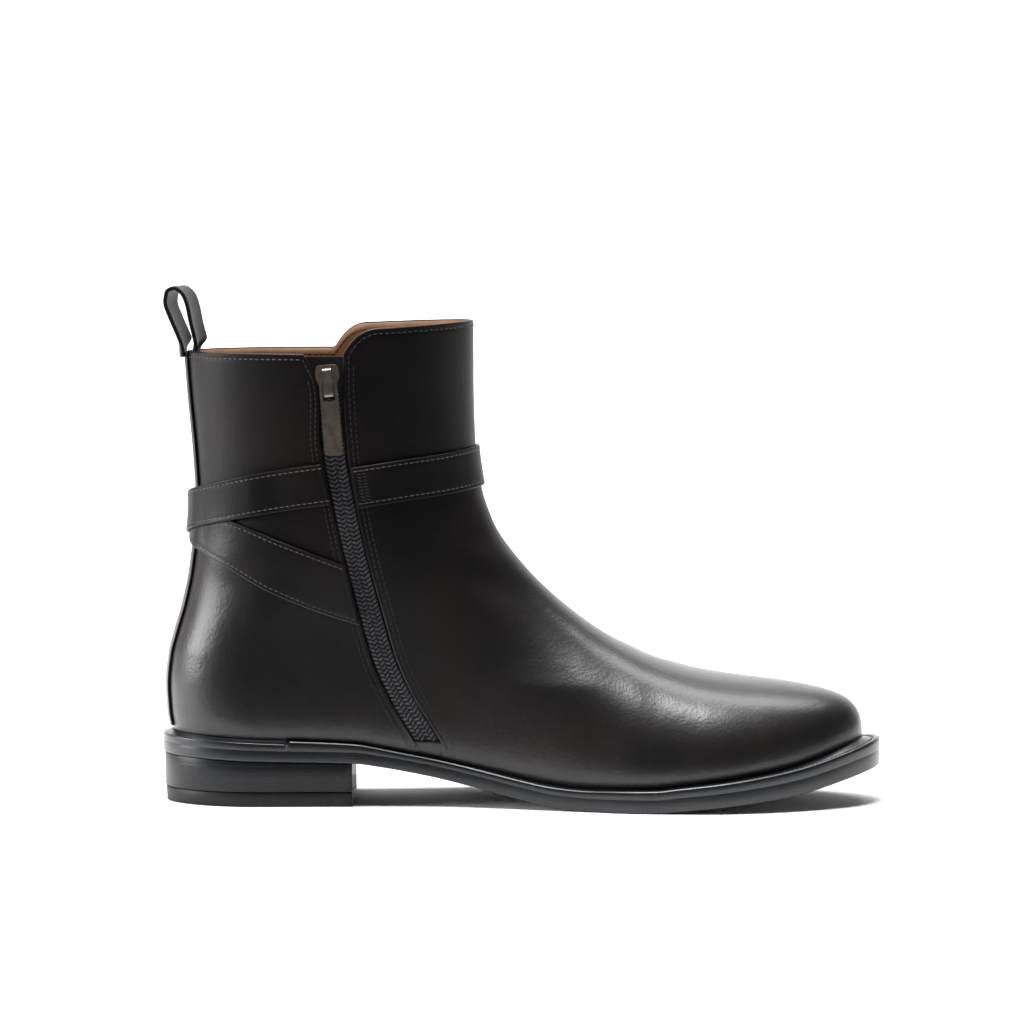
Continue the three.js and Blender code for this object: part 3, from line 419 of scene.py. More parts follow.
def border_distance(points):
    """Distance of each grid point along its row and its column to the nearest border."""
    across = np.linalg.norm(np.diff(points, axis=1), axis=-1)
    up = np.linalg.norm(np.diff(points, axis=0), axis=-1)
    u = np.concatenate([np.zeros((len(points), 1)), np.cumsum(across, 1)], 1)
    v = np.concatenate([np.zeros((1, points.shape[1])), np.cumsum(up, 0)], 0)
    return np.minimum(u, u[:, -1:] - u), v, v[-1:] - v


def mesh_piece(name, points, faces, material):
    """A closed mesh in metres from points in millimetres, with its faces outward."""
    points = np.asarray(points, float).reshape(-1, 3)
    volume = 0.0
    for face in faces:
        a, b, c = points[face[0]], points[face[1]], points[face[2]]
        volume += a[0] * (b[1] * c[2] - b[2] * c[1]) + a[1] * (b[2] * c[0] - b[0] * c[2])
        volume += a[2] * (b[0] * c[1] - b[1] * c[0])
    if volume < 0:
        faces = [face[::-1] for face in faces]
    mesh = bpy.data.meshes.new(name)
    mesh.from_pydata((points / 1000).tolist(), [], faces)
    mesh.polygons.foreach_set("use_smooth", [True] * len(mesh.polygons))
    mesh.materials.append(material)
    mesh.update()
    piece = bpy.data.objects.new(name, mesh)
    bpy.context.scene.collection.objects.link(piece)
    return piece


def quads(rows, cols, start=0, wrap=False):
    """Faces of a grid of points, with the last column joined to the first if it wraps."""
    faces = []
    for i in range(rows - 1):
        for j in range(cols if wrap else cols - 1):
            k = (j + 1) % cols
            a, b = start + i * cols, start + (i + 1) * cols
            faces.append((a + j, a + k, b + k, b + j))
    return faces


def sheet_piece(name, outer, inner, material):
    """A closed sheet between two grids of points."""
    rows, cols = outer.shape[:2]
    base = rows * cols
    faces = quads(rows, cols) + [face[::-1] for face in quads(rows, cols, base)]
    rim = list(range(cols)) + [i * cols + cols - 1 for i in range(1, rows)]
    rim += [(rows - 1) * cols + j for j in range(cols - 2, -1, -1)]
    rim += [i * cols for i in range(rows - 2, 0, -1)]
    for a, b in zip(rim, rim[1:] + rim[:1]):
        faces.append((b, a, base + a, base + b))
    points = np.concatenate([outer.reshape(-1, 3), inner.reshape(-1, 3)])
    return mesh_piece(name, points, faces, material)


def linear(code):
    """An sRGB colour code as a linear colour."""
    channels = [int(code[i:i + 2], 16) / 255 for i in (1, 3, 5)]
    values = [c / 12.92 if c <= 0.04045 else ((c + 0.055) / 1.055) ** 2.4 for c in channels]
    return (*values, 1)


def node(tree, kind, values=None, links=None, **settings):
    """Adds a node with its settings, its input values and the outputs that feed it."""
    made = tree.nodes.new(kind)
    for key, value in settings.items():
        setattr(made, key, value)
    for key, value in (values or {}).items():
        made.inputs[key].default_value = value
    for key, output in (links or {}).items():
        tree.links.new(output, made.inputs[key])
    return made


def ramp(tree, factor, *stops):
    """A colour ramp with (place, colour code) stops."""
    made = node(tree, "ShaderNodeValToRGB", links={"Fac": factor})
    for i, (place, code) in enumerate(stops):
        point = made.color_ramp.elements[i] if i < 2 else made.color_ramp.elements.new(place)
        point.position = place
        point.color = linear(code)
    return made.outputs["Color"]


def new_material(name):
    material = bpy.data.materials.new(name)
    material.use_nodes = True
    material.node_tree.nodes.clear()
    tree = material.node_tree
    shader = node(tree, "ShaderNodeBsdfPrincipled")
    node(tree, "ShaderNodeOutputMaterial", links={"Surface": shader.outputs["BSDF"]})
    where = node(tree, "ShaderNodeTexCoord").outputs["Object"]
    return material, tree, shader, where


def noise(tree, where, size_mm, detail=2.0, roughness=0.5):
    """Noise whose blots are about that many millimetres across."""
    values = {"Scale": 1000 / size_mm, "Detail": detail, "Roughness": roughness}
    return node(tree, "ShaderNodeTexNoise", values, {"Vector": where}).outputs["Fac"]


def bump(tree, height, depth_mm, strength=1.0, below=None):
    """A bump of that depth, on top of another one."""
    links = {"Height": height}
    if below:
        links["Normal"] = below
    made = node(tree, "ShaderNodeBump", {"Strength": strength, "Distance": depth_mm / 1000}, links)
    return made.outputs["Normal"]


def leather_material(name, dark, brown, wax):
    """Burnished calf: black with brown showing through, a fine grain, and a coat of wax that is
    thin on the leg and thick near the sole."""
    material, tree, shader, where = new_material(name)
    mottle = noise(tree, where, 45, 1, 0.5)
    tree.links.new(ramp(tree, mottle, (0.35, dark), (0.7, brown)), shader.inputs["Base Color"])
    pebble = noise(tree, where, 1.3, 2, 0.55)
    soft = bump(tree, noise(tree, where, 9, 2, 0.5), 0.14)
    tree.links.new(bump(tree, pebble, 0.06, 1.0, soft), shader.inputs["Normal"])
    tree.links.new(bump(tree, pebble, 0.08, 1.0, soft), shader.inputs["Coat Normal"])
    polish = node(
        tree, "ShaderNodeMapRange", {"To Min": 0.28, "To Max": 0.35},
        {"Value": noise(tree, where, 12, 3, 0.6)},
    )
    tree.links.new(polish.outputs["Result"], shader.inputs["Coat Roughness"])
    height = node(tree, "ShaderNodeSeparateXYZ", links={"Vector": where}).outputs["Z"]
    waxed = node(
        tree, "ShaderNodeMapRange",
        {"From Min": 0.06, "From Max": 0.125, "To Min": wax, "To Max": 0.2 * wax},
        {"Value": height}, interpolation_type="SMOOTHSTEP",
    )
    tree.links.new(waxed.outputs["Result"], shader.inputs["Coat Weight"])
    shader.inputs["Roughness"].default_value = 0.55
    shader.inputs["Specular IOR Level"].default_value = 0.15
    return material


SEAM_AHEAD = 3
UNDERLAP = 5
CALF = leather_material("Burnished calf, hand waxed", "#08080c", "#1a1211", 1.0)


def rear_distance(z):
    """The quarter's edge beside the zip, with its corner cut away below the collar."""
    corner = 4.6 * np.maximum(0, (z - REAR_COLLAR + 12) / 12) ** 1.6
    return -slot_half(z) + 1.8 * smooth((z - 150) / 22) - corner


slot_front = edge_turns(slot_half)
slot_rear = edge_turns(rear_distance)
seam_line = 2 * math.pi - edge_turns(constant(SEAM_AHEAD))
tucked_under = 2 * math.pi - edge_turns(constant(SEAM_AHEAD - UNDERLAP))


def panel_points(turn, step):
    """Points and outward normals of a panel, with the folds pressed in."""
    p = loop_point(turn, step)
    n = grid_normals(p)
    centre = p - np.array([60, 0, 90])
    if np.sum(n[..., :2] * centre[..., :2]) < 0:
        n = -n
    p = p - n * fold_depth(p, side_of(turn))[..., None]
    return p, n


def edge_drop(p, radius, stitched):
    """How far the face of a panel drops at its border, and a little along a row of stitches."""
    side, low, high = border_distance(p)
    near = np.minimum(side, high)
    groove = 0.12 * np.exp(-(((near - stitched) / 0.55) ** 2))
    return radius * (1 - rounded_end(near / radius)) + groove


PANEL_ROUND = 0.7
STITCH_INSET = 2.3
u = edge_spread(360, 230)
q = edge_spread(230, 150)
turn, step = panel_grid(u, q, slot_front, tucked_under)
p, n = panel_points(turn, step)
face = p - n * edge_drop(p, PANEL_ROUND, STITCH_INSET)[..., None]
front_panel = sheet_piece("front_panel_vamp", face, p - n * LEATHER, CALF)
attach(front_panel, "boot")

# Upper, quarter
# The rear panel of the same calf, from the zip round the heel to the seam on the outer side,
# where it lies over the front panel.

u = edge_spread(210, 130)
turn, step = panel_grid(u, q, seam_line - 2 * math.pi, slot_rear)
p, n = panel_points(turn, step)
along = np.linalg.norm(np.diff(p, axis=1), axis=-1)
from_seam = np.concatenate([np.zeros((len(p), 1)), np.cumsum(along, 1)], 1)
lift = (LEATHER + 0.1) * (1 - smooth((from_seam - 6) / 10))
face = p + n * (lift - edge_drop(p, PANEL_ROUND, STITCH_INSET))[..., None]
quarter = sheet_piece("quarter", face, p + n * (lift - LEATHER)[..., None], CALF)
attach(quarter, "boot")

# Upper, bridge below the zip
# A short strip of the calf that closes the slot between the zip's end and the welt.

def slot_point(across, z, out):
    """A point beside the zip's middle line, at a distance across it and out from the skin."""
    turn = turn_at(zip_x(z) + across * zip_tilt(z), z)
    return skin(turn, z) + skin_normal(turn, z) * np.asarray(out)[..., None]


across, share = np.meshgrid(np.linspace(-5.2, 5.2, 30), np.linspace(0, 1, 16))
x_foot = zip_x(SLOT_END) + across
z = mix(feather(x_foot) + 0.1, SLOT_END + 0.8, share)
bridge = sheet_piece(
    "zip_bridge", slot_point(across, z, -0.25 - 0.5 * smooth((share - 0.85) / 0.15)),
    slot_point(across, z, -LEATHER + 0 * z), CALF,
)
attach(bridge, "boot")

# Lining
# Tan leather inside the whole upper, from one edge of the zip's slot round to the other, and cut
# just below the collar.

LINING_DROP = 0.5


def lining_material():
    """Vegetable tanned lining: matt tan with a soft, cloudy stain."""
    material, tree, shader, where = new_material("Vegetable tanned lining leather")
    cloud = noise(tree, where, 9, 3, 0.6)
    tan = ramp(tree, cloud, (0.3, "#6c472c"), (0.75, "#8a6039"))
    tree.links.new(tan, shader.inputs["Base Color"])
    tree.links.new(bump(tree, noise(tree, where, 0.8, 2), 0.04), shader.inputs["Normal"])
    shader.inputs["Roughness"].default_value = 0.62
    return material


LINING = lining_material()
q = np.linspace(0, 1, 90)
turn, step = panel_grid(edge_spread(560, 200), q, slot_front, 2 * math.pi + slot_rear)
p, n = panel_points(turn, step)
drop = LINING_DROP * smooth((q - 0.93) / 0.07)[:, None]
outer = p - n * (LEATHER + 0.03)
inner = p - n * (WALL - 0.02)
outer[..., 2] -= drop
inner[..., 2] -= drop
lining = sheet_piece("lining", outer, inner, LINING)
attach(lining, "boot")
for piece in (front_panel, quarter, bridge, lining):
    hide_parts("upper")

# Stitches of the upper
# Waxed thread: one row below the collar, two on each side of the zip and two on the outer seam.


def thread_material(name, code, pale):
    """Twisted polyester thread with a soft wax shine."""
    material, tree, shader, where = new_material(name)
    twist = noise(tree, where, 0.4, 1)
    tree.links.new(ramp(tree, twist, (0.3, code), (0.75, pale)), shader.inputs["Base Color"])
    shader.inputs["Roughness"].default_value = 0.5
    return material


BROWN_THREAD = thread_material("Waxed thread, brown", "#44362f", "#715d51")
DARK_THREAD = thread_material("Waxed thread, dark grey", "#121317", "#2e3037")


def stitch_tree():
    """Threads set along lines: their pitch, length, width and slant are the named inputs."""
    tree = bpy.data.node_groups.new("Stitches along lines", "GeometryNodeTree")
    kinds = dict(
        Lines="Geometry", Pitch="Float", Length="Float", Width="Float", Slant="Float",
        Seed="Int", Material="Material",
    )
    for key, kind in kinds.items():
        tree.interface.new_socket(key, in_out="INPUT", socket_type="NodeSocket" + kind)
    tree.interface.new_socket("Geometry", in_out="OUTPUT", socket_type="NodeSocketGeometry")
    given = tree.nodes.new("NodeGroupInput").outputs
    line = node(tree, "GeometryNodeMeshToCurve", links={"Mesh": given["Lines"]}).outputs["Curve"]
    even = node(
        tree, "GeometryNodeResampleCurve", links={"Curve": line, "Length": given["Pitch"]},
        mode="LENGTH",
    ).outputs["Curve"]
    tangent = node(tree, "GeometryNodeInputTangent").outputs["Tangent"]
    outward = node(
        tree, "GeometryNodeInputNamedAttribute", {"Name": "outward"}, data_type="FLOAT_VECTOR"
    ).outputs["Attribute"]
    placed = node(
        tree, "FunctionNodeAxesToRotation",
        links={"Primary Axis": tangent, "Secondary Axis": outward},
        primary_axis="X", secondary_axis="Z",
    ).outputs["Rotation"]
    uneven = node(
        tree, "FunctionNodeRandomValue", {"Min": -0.06, "Max": 0.06}, {"Seed": given["Seed"]},
        data_type="FLOAT",
    )
    uneven = next(s for s in uneven.outputs if s.enabled)
    angle = node(tree, "ShaderNodeMath", links={0: given["Slant"], 1: uneven}).outputs[0]
    slanted = node(
        tree, "FunctionNodeAxisAngleToRotation", {"Axis": (0, 0, 1)}, {"Angle": angle}
    ).outputs["Rotation"]
    turned = node(
        tree, "FunctionNodeRotateRotation", links={"Rotation": placed, "Rotate By": slanted},
        rotation_space="LOCAL",
    ).outputs["Rotation"]
    thread = node(
        tree, "GeometryNodeMeshUVSphere", {"Segments": 8, "Rings": 6, "Radius": 0.5}
    ).outputs["Mesh"]
    size = node(
        tree, "ShaderNodeCombineXYZ",
        links={"X": given["Length"], "Y": given["Width"], "Z": given["Width"]},
    ).outputs["Vector"]
    threads = node(
        tree, "GeometryNodeInstanceOnPoints",
        links={"Points": even, "Instance": thread, "Rotation": turned, "Scale": size},
    ).outputs["Instances"]
    real = node(tree, "GeometryNodeRealizeInstances", links={"Geometry": threads}).outputs[0]
    soft = node(tree, "GeometryNodeSetShadeSmooth", links={"Geometry": real}).outputs[0]
    done = node(
        tree, "GeometryNodeSetMaterial", links={"Geometry": soft, "Material": given["Material"]}
    ).outputs[0]
    tree.links.new(done, tree.nodes.new("NodeGroupOutput").inputs[0])
    return tree


STITCHES = stitch_tree()


def stitch_piece(name, lines, material, pitch=2.6, length=2.0, width=0.55, slant=0.0):
    """Stitches along lines of points and outward directions, in millimetres, as one mesh."""
    points = np.concatenate([line[0] for line in lines])
    out = np.concatenate([line[1] for line in lines])
    edges, start = [], 0
    for line in lines:
        edges += [(start + i, start + i + 1) for i in range(len(line[0]) - 1)]
        start += len(line[0])
    guide = bpy.data.meshes.new(name)
    guide.from_pydata((points / 1000).tolist(), edges, [])
    guide.attributes.new("outward", "FLOAT_VECTOR", "POINT").data.foreach_set("vector", out.ravel())
    piece = bpy.data.objects.new(name, guide)
    bpy.context.scene.collection.objects.link(piece)
    threads = piece.modifiers.new("stitches", "NODES")
    threads.node_group = STITCHES
    values = dict(
        Pitch=pitch / 1000, Length=length / 1000, Width=width / 1000, Slant=slant, Seed=7,
        Material=material,
    )
    for socket in STITCHES.interface.items_tree:
        if socket.in_out == "INPUT" and socket.name in values:
            threads[socket.identifier] = values[socket.name]
    graph = bpy.context.evaluated_depsgraph_get()
    made = bpy.data.meshes.new_from_object(piece.evaluated_get(graph))
    piece.modifiers.clear()
    piece.data = made
    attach(piece, "boot")
    return piece


def on_leg(turn, z, out):
    """A line of points and outward directions on the leg, with the folds pressed in."""
    p = skin(turn, z)
    n = skin_normal(turn, z)
    return p + n * (out - fold_depth(p, side_of(turn)))[..., None], n


def beside_slot(distance, low, high, out):
    """A line beside the zip, at distances ahead of its middle line."""
    z = np.linspace(low, high, 200)
    turn = turn_at(zip_x(z) + distance(z) * zip_tilt(z), z)
    return on_leg(turn, z, out + 0 * z)


def collar_turn(ahead):
    """The turn near the collar at a distance ahead of the zip."""
    return float(np.interp(0.9, STEPS, edge_turns(constant(ahead))))


def collar_line(turn, inset):
    """Heights of a row below the collar."""
    return collar_height(skin(turn, REAR_COLLAR + 0 * turn)[..., 0], side_of(turn)) - inset


def front_panel_row(inset):
    """The row of the front panel: up beside the zip, round the corner and along the collar."""
    z = np.linspace(24, REAR_COLLAR, 200)
    x = zip_x(z) + slot_half(z) * zip_tilt(z)
    ahead = np.linspace(x[-1], 72, 200)[1:]
    x = np.concatenate([x, ahead])
    z = np.concatenate([z, collar_height(ahead, -1)])
    dx, dz = np.gradient(x), np.gradient(z)
    size = np.hypot(dx, dz)
    weight = np.ones(15) / 15
    nx = np.convolve(np.pad(dz / size, 7, mode="edge"), weight, "valid")
    nz = np.convolve(np.pad(-dx / size, 7, mode="edge"), weight, "valid")
    size = np.hypot(nx, nz)
    x, z = x + inset * nx / size, z + inset * nz / size
    first = on_leg(turn_at(x, z), z, 0.05 + 0 * z)
    end = 2 * math.pi - collar_turn(2 * SEAM_AHEAD)
    turn = np.linspace(float(turn_at(x[-1], z[-1])), end, 300)[1:]
    z = collar_line(turn, inset)
    second = on_leg(turn, z, 0.05 + 0 * z)
    return np.concatenate([first[0], second[0]]), np.concatenate([first[1], second[1]])


def quarter_row(inset):
    """The row of the quarter below the collar, from the outer seam to the corner at the zip."""
    start = -collar_turn(1)
    end = float(turn_at(zip_x(REAR_COLLAR) + rear_distance(REAR_COLLAR) - inset, REAR_COLLAR))
    turn = np.linspace(start, end, 400)
    lift = (LEATHER + 0.1) * (1 - smooth((turn - start) * 4 - 0.6))
    return on_leg(turn, REAR_COLLAR - inset + 0 * turn, 0.05 + lift)


stitch_piece(
    "collar_stitches",
    [quarter_row(STITCH_INSET)], BROWN_THREAD, 2.5, 1.9, 0.45,
)
stitch_piece(
    "front_panel_stitches", [front_panel_row(STITCH_INSET)], DARK_THREAD,
    2.5, 1.9, 0.5,
)
stitch_piece(
    "zip_edge_stitches",
    [
        beside_slot(lambda z: rear_distance(z) - 1.7, 25, REAR_COLLAR - 3, 0.05),
        beside_slot(lambda z: rear_distance(z) - 3.6, 25, REAR_COLLAR - 12, 0.05),
        beside_slot(lambda z: slot_half(z) + 4.2, 24, REAR_COLLAR - 6, 0.05),
    ],
    DARK_THREAD, 2.3, 1.7, 0.5,
)


def outer_seam(inset):
    """A row on the quarter beside its seam on the outer side."""
    z = np.linspace(26, REAR_COLLAR - 3, 240)
    turn = 2 * math.pi - turn_at(zip_x(z) + SEAM_AHEAD - inset * zip_tilt(z), z)
    return on_leg(turn, z, LEATHER + 0.15 + 0 * z)


stitch_piece(
    "outer_seam_stitches", [outer_seam(1.7), outer_seam(3.8)], DARK_THREAD,
    2.4, 1.8, 0.5,
)
turn = np.linspace(0, 2 * math.pi, 700)
z = collar_line(turn, 3)
zip_back, zip_front = (turn_at(zip_x(REAR_COLLAR) + d, REAR_COLLAR) for d in (-9, 14))
place, out = on_leg(turn, z, -WALL - 0.02 + 0 * z)
stitch_piece(
    "lining_stitches",
    [(place[keep], -out[keep]) for keep in (turn < zip_back, turn > zip_front)],
    BROWN_THREAD, 2.5, 1.8, 0.5,
)

# Back strip
# A narrow strip of the calf that covers the seam up the back, from the rand to the collar.

BACK_STRIP_WIDTH = 17
BACK_STRIP_THICKNESS = 0.9


def turn_beside(distance, z):
    probe = 0.3
    width = np.abs(skin(probe + 0 * z, z)[..., 1])
    return np.arcsin(distance * math.sin(probe) / width)


def band_piece(name, centre_turn, z, thickness, out, radius, material):
    """A band on the skin from grids of turns and heights, with its long edges rounded off."""
    p = skin(centre_turn, z)
    n = skin_normal(centre_turn, z)
    p = p - n * fold_depth(p, side_of(centre_turn))[..., None]
    side, low, high = border_distance(p)
    near = np.minimum(np.minimum(low, high), side)
    drop = radius * (1 - rounded_end(near / radius)) + 0.1 * np.exp(-(((near - 1.9) / 0.5) ** 2))
    face = p + n * (out + thickness - drop)[..., None]
    back = p + n * (out + 0 * near)[..., None]
    return sheet_piece(name, face, back, material)


across, share = np.meshgrid(edge_spread(BACK_STRIP_WIDTH, 24) - 0.5, edge_spread(156, 120))
z = mix(HEEL_FEATHER + 1.4, REAR_COLLAR - 0.6, share)
back_strip = band_piece(
    "back_strip_leather", turn_beside(BACK_STRIP_WIDTH * across, z), z,
    BACK_STRIP_THICKNESS, SEAM, 0.45, CALF,
)
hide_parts("back_strip")
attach(back_strip, "boot")

# Straps
# Two straps of the calf, stitched near both edges: the long one round the ankle from edge to edge
# of the zip, and the billet that rises from the quarter to the buckle on the outer side.

STRAP_WIDTH = 16.6
STRAP_THICKNESS = 1.3
LONG_STRAP = table(
    "turn height",
    (-1.47, 0.706), (-1.3, 0.727), (-1, 0.746), (-0.64, 0.739), (-0.46, 0.716),
    (-0.22, 0.67), (0, 0.628), (0.22, 0.58), (0.35, 0.527), (0.46, 0.477), (0.56, 0.432),
)
BILLET = table(
    "turn height",
    (-0.75, 0.412), (-0.54, 0.485), (-0.35, 0.556), (-0.22, 0.6), (0, 0.641),
    (0.22, 0.675), (0.35, 0.697), (0.46, 0.713), (0.56, 0.724),
)
long_height = curve_of(LONG_STRAP, "turn", "height")
billet_height = curve_of(BILLET, "turn", "height")
STRAP_END_GAP = 0.7


def quarter_edge(z):
    return turn_at(zip_x(z) - slot_half(z) - STRAP_END_GAP, z)


def front_panel_edge(z):
    return turn_at(zip_x(z) + slot_half(z) + STRAP_END_GAP, z) - 2 * math.pi


def over_back_strip(turn):
    return (BACK_STRIP_THICKNESS + SEAM) * (1 - smooth((np.abs(turn) - 0.27) / 0.2))


def over_strap(turn):
    return (STRAP_THICKNESS + LAY) * (1 - smooth((np.abs(turn) - 0.92) / 0.25))


def over_chape(turn):
    return (STRAP_THICKNESS + LAY) * smooth((-turn - 1.2) / 0.22)


def strap_place(line, start, end, width, across, share):
    """Turns and heights of a strap, square to its line, with ends that follow their edges."""
    def height_at(turn):
        return REAR_COLLAR * line(turn / math.pi)

    first = start(height_at(start(height_at(0.5 * math.pi))))
    last = end(height_at(end(height_at(-0.5 * math.pi))))
    middle = mix(first, last, share)
    z0 = height_at(middle)
    ahead, behind = skin(middle + 0.03, z0), skin(middle - 0.03, z0)
    run = np.hypot(ahead[..., 0] - behind[..., 0], ahead[..., 1] - behind[..., 1])
    climb = height_at(middle + 0.03) - height_at(middle - 0.03)
    z = z0 + across * width(share) * np.hypot(1, climb / run)
    return mix(start(z), end(z), share), z


def strap_piece(name, length, line, start, end, width, under, node_name):
    across, share = np.meshgrid(edge_spread(STRAP_WIDTH, 20) - 0.5, edge_spread(length, length))
    turn, z = strap_place(line, start, end, width, across, share)
    strap = band_piece(name, turn, z, STRAP_THICKNESS, LAY + under(turn), 0.5, CALF)
    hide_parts(node_name)
    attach(strap, "boot")
    return strap


BILLET_TIP = -0.64 * math.pi
CHAPE_FROM = -0.475 * math.pi
CHAPE_TO = -0.72 * math.pi


def full_width(share):
    return STRAP_WIDTH + 0 * share


def long_width(share):
    return mix(23.4, STRAP_WIDTH, smooth(share / 0.2))


def billet_width(share):
    return STRAP_WIDTH * (1 - 0.7 * smooth((share - 0.94) / 0.06))


def billet_under(turn):
    return over_back_strip(turn) + over_strap(turn) + over_chape(turn)


LONG = (long_height, quarter_edge, front_panel_edge, long_width, over_back_strip)
RISING = (billet_height, quarter_edge, constant(BILLET_TIP), billet_width, billet_under)
SHORT = (billet_height, constant(CHAPE_FROM), constant(CHAPE_TO), full_width, constant(0))
strap_piece("long_strap", 310, *LONG, "strap_long")
strap_piece("billet_strap", 210, *RISING, "strap_billet")
strap_piece("chape", 60, *SHORT, "strap_chape")


def strap_row(line, start, end, width, under, side, last):
    """A row of stitches near one edge of a strap."""
    share = np.linspace(0.004, last, 400)
    across = side * (0.5 - 1.7 / width(share))
    turn, z = strap_place(line, start, end, width, across, share)
    return on_leg(turn, z, LAY + under(turn) + STRAP_THICKNESS - 0.02)


def strap_end_row(line, start, end, width, under, share):
    """A row across a strap, near one of its ends."""
    across = np.linspace(-0.4, 0.4, 40)
    turn, z = strap_place(line, start, end, width, across, share + 0 * across)
    return on_leg(turn, z, LAY + under(turn) + STRAP_THICKNESS)


rows = [
    strap_row(*strap, side, last)
    for side in (-1, 1) for strap, last in ((LONG, 0.996), (RISING, 0.95))
]
stitch_piece("strap_stitches", rows, BROWN_THREAD, 2.4, 1.9, 0.42)
rows = [strap_end_row(*LONG, share) for share in (0.992, 0.986)]
stitch_piece("strap_end_bars", rows, DARK_THREAD, 1.3, 1.9, 0.45, 1.25)

# Sole
# Outsole, welt and rand are edge finished with black ink and wax. The welt runs from the heel joint
# round the toe, and the rand round the heel seat.

WELT_WIDTH = 6.2
EDGE_PLAN = table(
    "along share",
    (0, 0.61), (0.1, 0.5), (0.25, 0.5), (0.4, 0.55), (0.55, 0.85), (0.7, 0.95), (0.9, 1),
    (1, 1.16),
)
edge_share = curve_of(EDGE_PLAN, "along", "share")
STATIONS = 480


def sole_material():
    """Edge inked sole leather: slate black, waxed, with faint scratches along the edge."""
    material, tree, shader, where = new_material("Sole leather, inked and waxed edge")
    long = node(tree, "ShaderNodeMapping", {"Scale": (0.12, 0.12, 1.6)}, {"Vector": where})
    streaks = noise(tree, long.outputs[0], 1.2, 3, 0.6)
    ink = ramp(tree, streaks, (0.3, "#0c0e12"), (0.8, "#171a20"))
    tree.links.new(ink, shader.inputs["Base Color"])
    tree.links.new(bump(tree, streaks, 0.05), shader.inputs["Normal"])
    shader.inputs["Roughness"].default_value = 0.34
    shader.inputs["Coat Weight"].default_value = 0.25
    shader.inputs["Coat Roughness"].default_value = 0.25
    return material


SOLE = sole_material()
station_turn = np.arange(STATIONS) * 2 * math.pi / STATIONS
station_x = mix(UPPER_BACK, UPPER_TOE, (1 - np.cos(station_turn)) / 2)
station_y = ridge_line(station_x) + side_of(station_turn) * half_width(
    station_x, feather(station_x), side_of(station_turn)
)
station_y[[0, STATIONS // 2]] = ridge_line(station_x[[0, STATIONS // 2]])
outline = np.stack([station_x, station_y], -1)
tangent = np.roll(outline, -1, 0) - np.roll(outline, 1, 0)
outward = np.stack([-tangent[:, 1], tangent[:, 0]], -1)
outward /= -np.linalg.norm(outward, axis=1, keepdims=True)
edge_out = edge_share(along_of(station_x)) * WELT_WIDTH


def outline_ring(out, z):
    """The sole's outline moved out past the feather line, at a height for each station."""
    flat = outline + outward * np.broadcast_to(out, STATIONS)[:, None]
    return np.concatenate([flat, np.broadcast_to(z, STATIONS)[:, None]], 1)


def ring_piece(name, rings, material):
    """Rings stacked from the bottom up, closed by rungs between their two sides."""
    points = np.concatenate(rings)
    count = len(rings[0])
    faces = quads(len(rings), count, 0, True)
    half = count // 2
    for base, flip in ((0, 1), (len(points) - count, -1)):
        caps = [(base, base + 1, base + count - 1)]
        for i in range(1, half - 1):
            caps.append((base + i, base + i + 1, base + count - i - 1, base + count - i))
        caps.append((base + half - 1, base + half, base + half + 1))
        faces += [cap[::-flip] for cap in caps]
    return mesh_piece(name, points, faces, material)


bottom, top = sole_bottom(station_x), outsole_top(station_x) + SEAM - 0.02
LOW_ROUND, TOP_ROUND = 0.8, 0.06
rings = [outline_ring(edge_out - LOW_ROUND, bottom)]
corner = [(1 - math.sin(angle), 1 - math.cos(angle)) for angle in np.linspace(0, math.pi / 2, 5)]
rings += [outline_ring(edge_out - LOW_ROUND * a, bottom + LOW_ROUND * b) for a, b in corner]
rings += [outline_ring(edge_out - TOP_ROUND * b, top - TOP_ROUND * a) for a, b in corner]
outsole = ring_piece("outsole_leather", rings, SOLE)
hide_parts("outsole")
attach(outsole, "boot")


def strip_piece(name, run, section, material):
    """A strip along part of the outline from a closed section at each station."""
    sections = [section(k % STATIONS) for k in run]
    count = len(sections[0])
    faces = quads(len(sections), count, 0, True)
    last = (len(sections) - 1) * count
    faces.append(tuple(range(count)))
    faces.append(tuple(last + i for i in range(count - 1, -1, -1)))
    return mesh_piece(name, np.concatenate(sections), faces, material)


def section_at(k, *corners):
    """Points of a strip's section from (out, height) pairs."""
    flat = [outline[k] + outward[k] * out for out, _ in corners]
    return np.array([[f[0], f[1], z] for f, (_, z) in zip(flat, corners)])


def strip_limits(k):
    """Low and high faces of the welt and the rand, their reach and their lower corner."""
    low, high, out = outsole_top(station_x[k]) + SEAM, strip_top(station_x[k]), edge_out[k]
    corners = [(-WALL, low), (out - 0.06, low), (out - 0.02, low + 0.02), (out, low + 0.06)]
    return low, high, out, corners


BEAD = 1.25


def welt_section(k):
    low, high, out, corners = strip_limits(k)
    bead = min(BEAD, 0.42 * (high - low))
    for angle in np.linspace(0, math.pi, 11):
        corners.append((out - bead + bead * math.cos(angle), high - bead + bead * math.sin(angle)))
    corners += [(out - 2 * bead - 0.15, high - bead - 0.1), (out - 2 * bead - 0.6, high - 0.75)]
    foot = min(0.5, out - 2 * bead - 1.2)
    corners += [(foot, high - 0.7), (min(0, foot - 0.3), high + 0.1), (-WALL, high + 0.1)]
    return section_at(k, *corners)


RAND_JOINT = 12.6
joint = int(np.argmin(np.abs(station_x[: STATIONS // 2] - RAND_JOINT)))
welt = strip_piece("welt_strip", range(joint, STATIONS - joint + 1), welt_section, SOLE)
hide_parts("welt")
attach(welt, "boot")


def rand_section(k):
    low, high, out, corners = strip_limits(k)
    for angle in np.linspace(0, math.pi / 2, 7):
        corners.append((out - 0.7 + 0.7 * math.cos(angle), high - 2.1 + 0.7 * math.sin(angle)))
    corners += [(0.7, high - 0.4), (0.2, high), (-WALL, high)]
    return section_at(k, *corners)


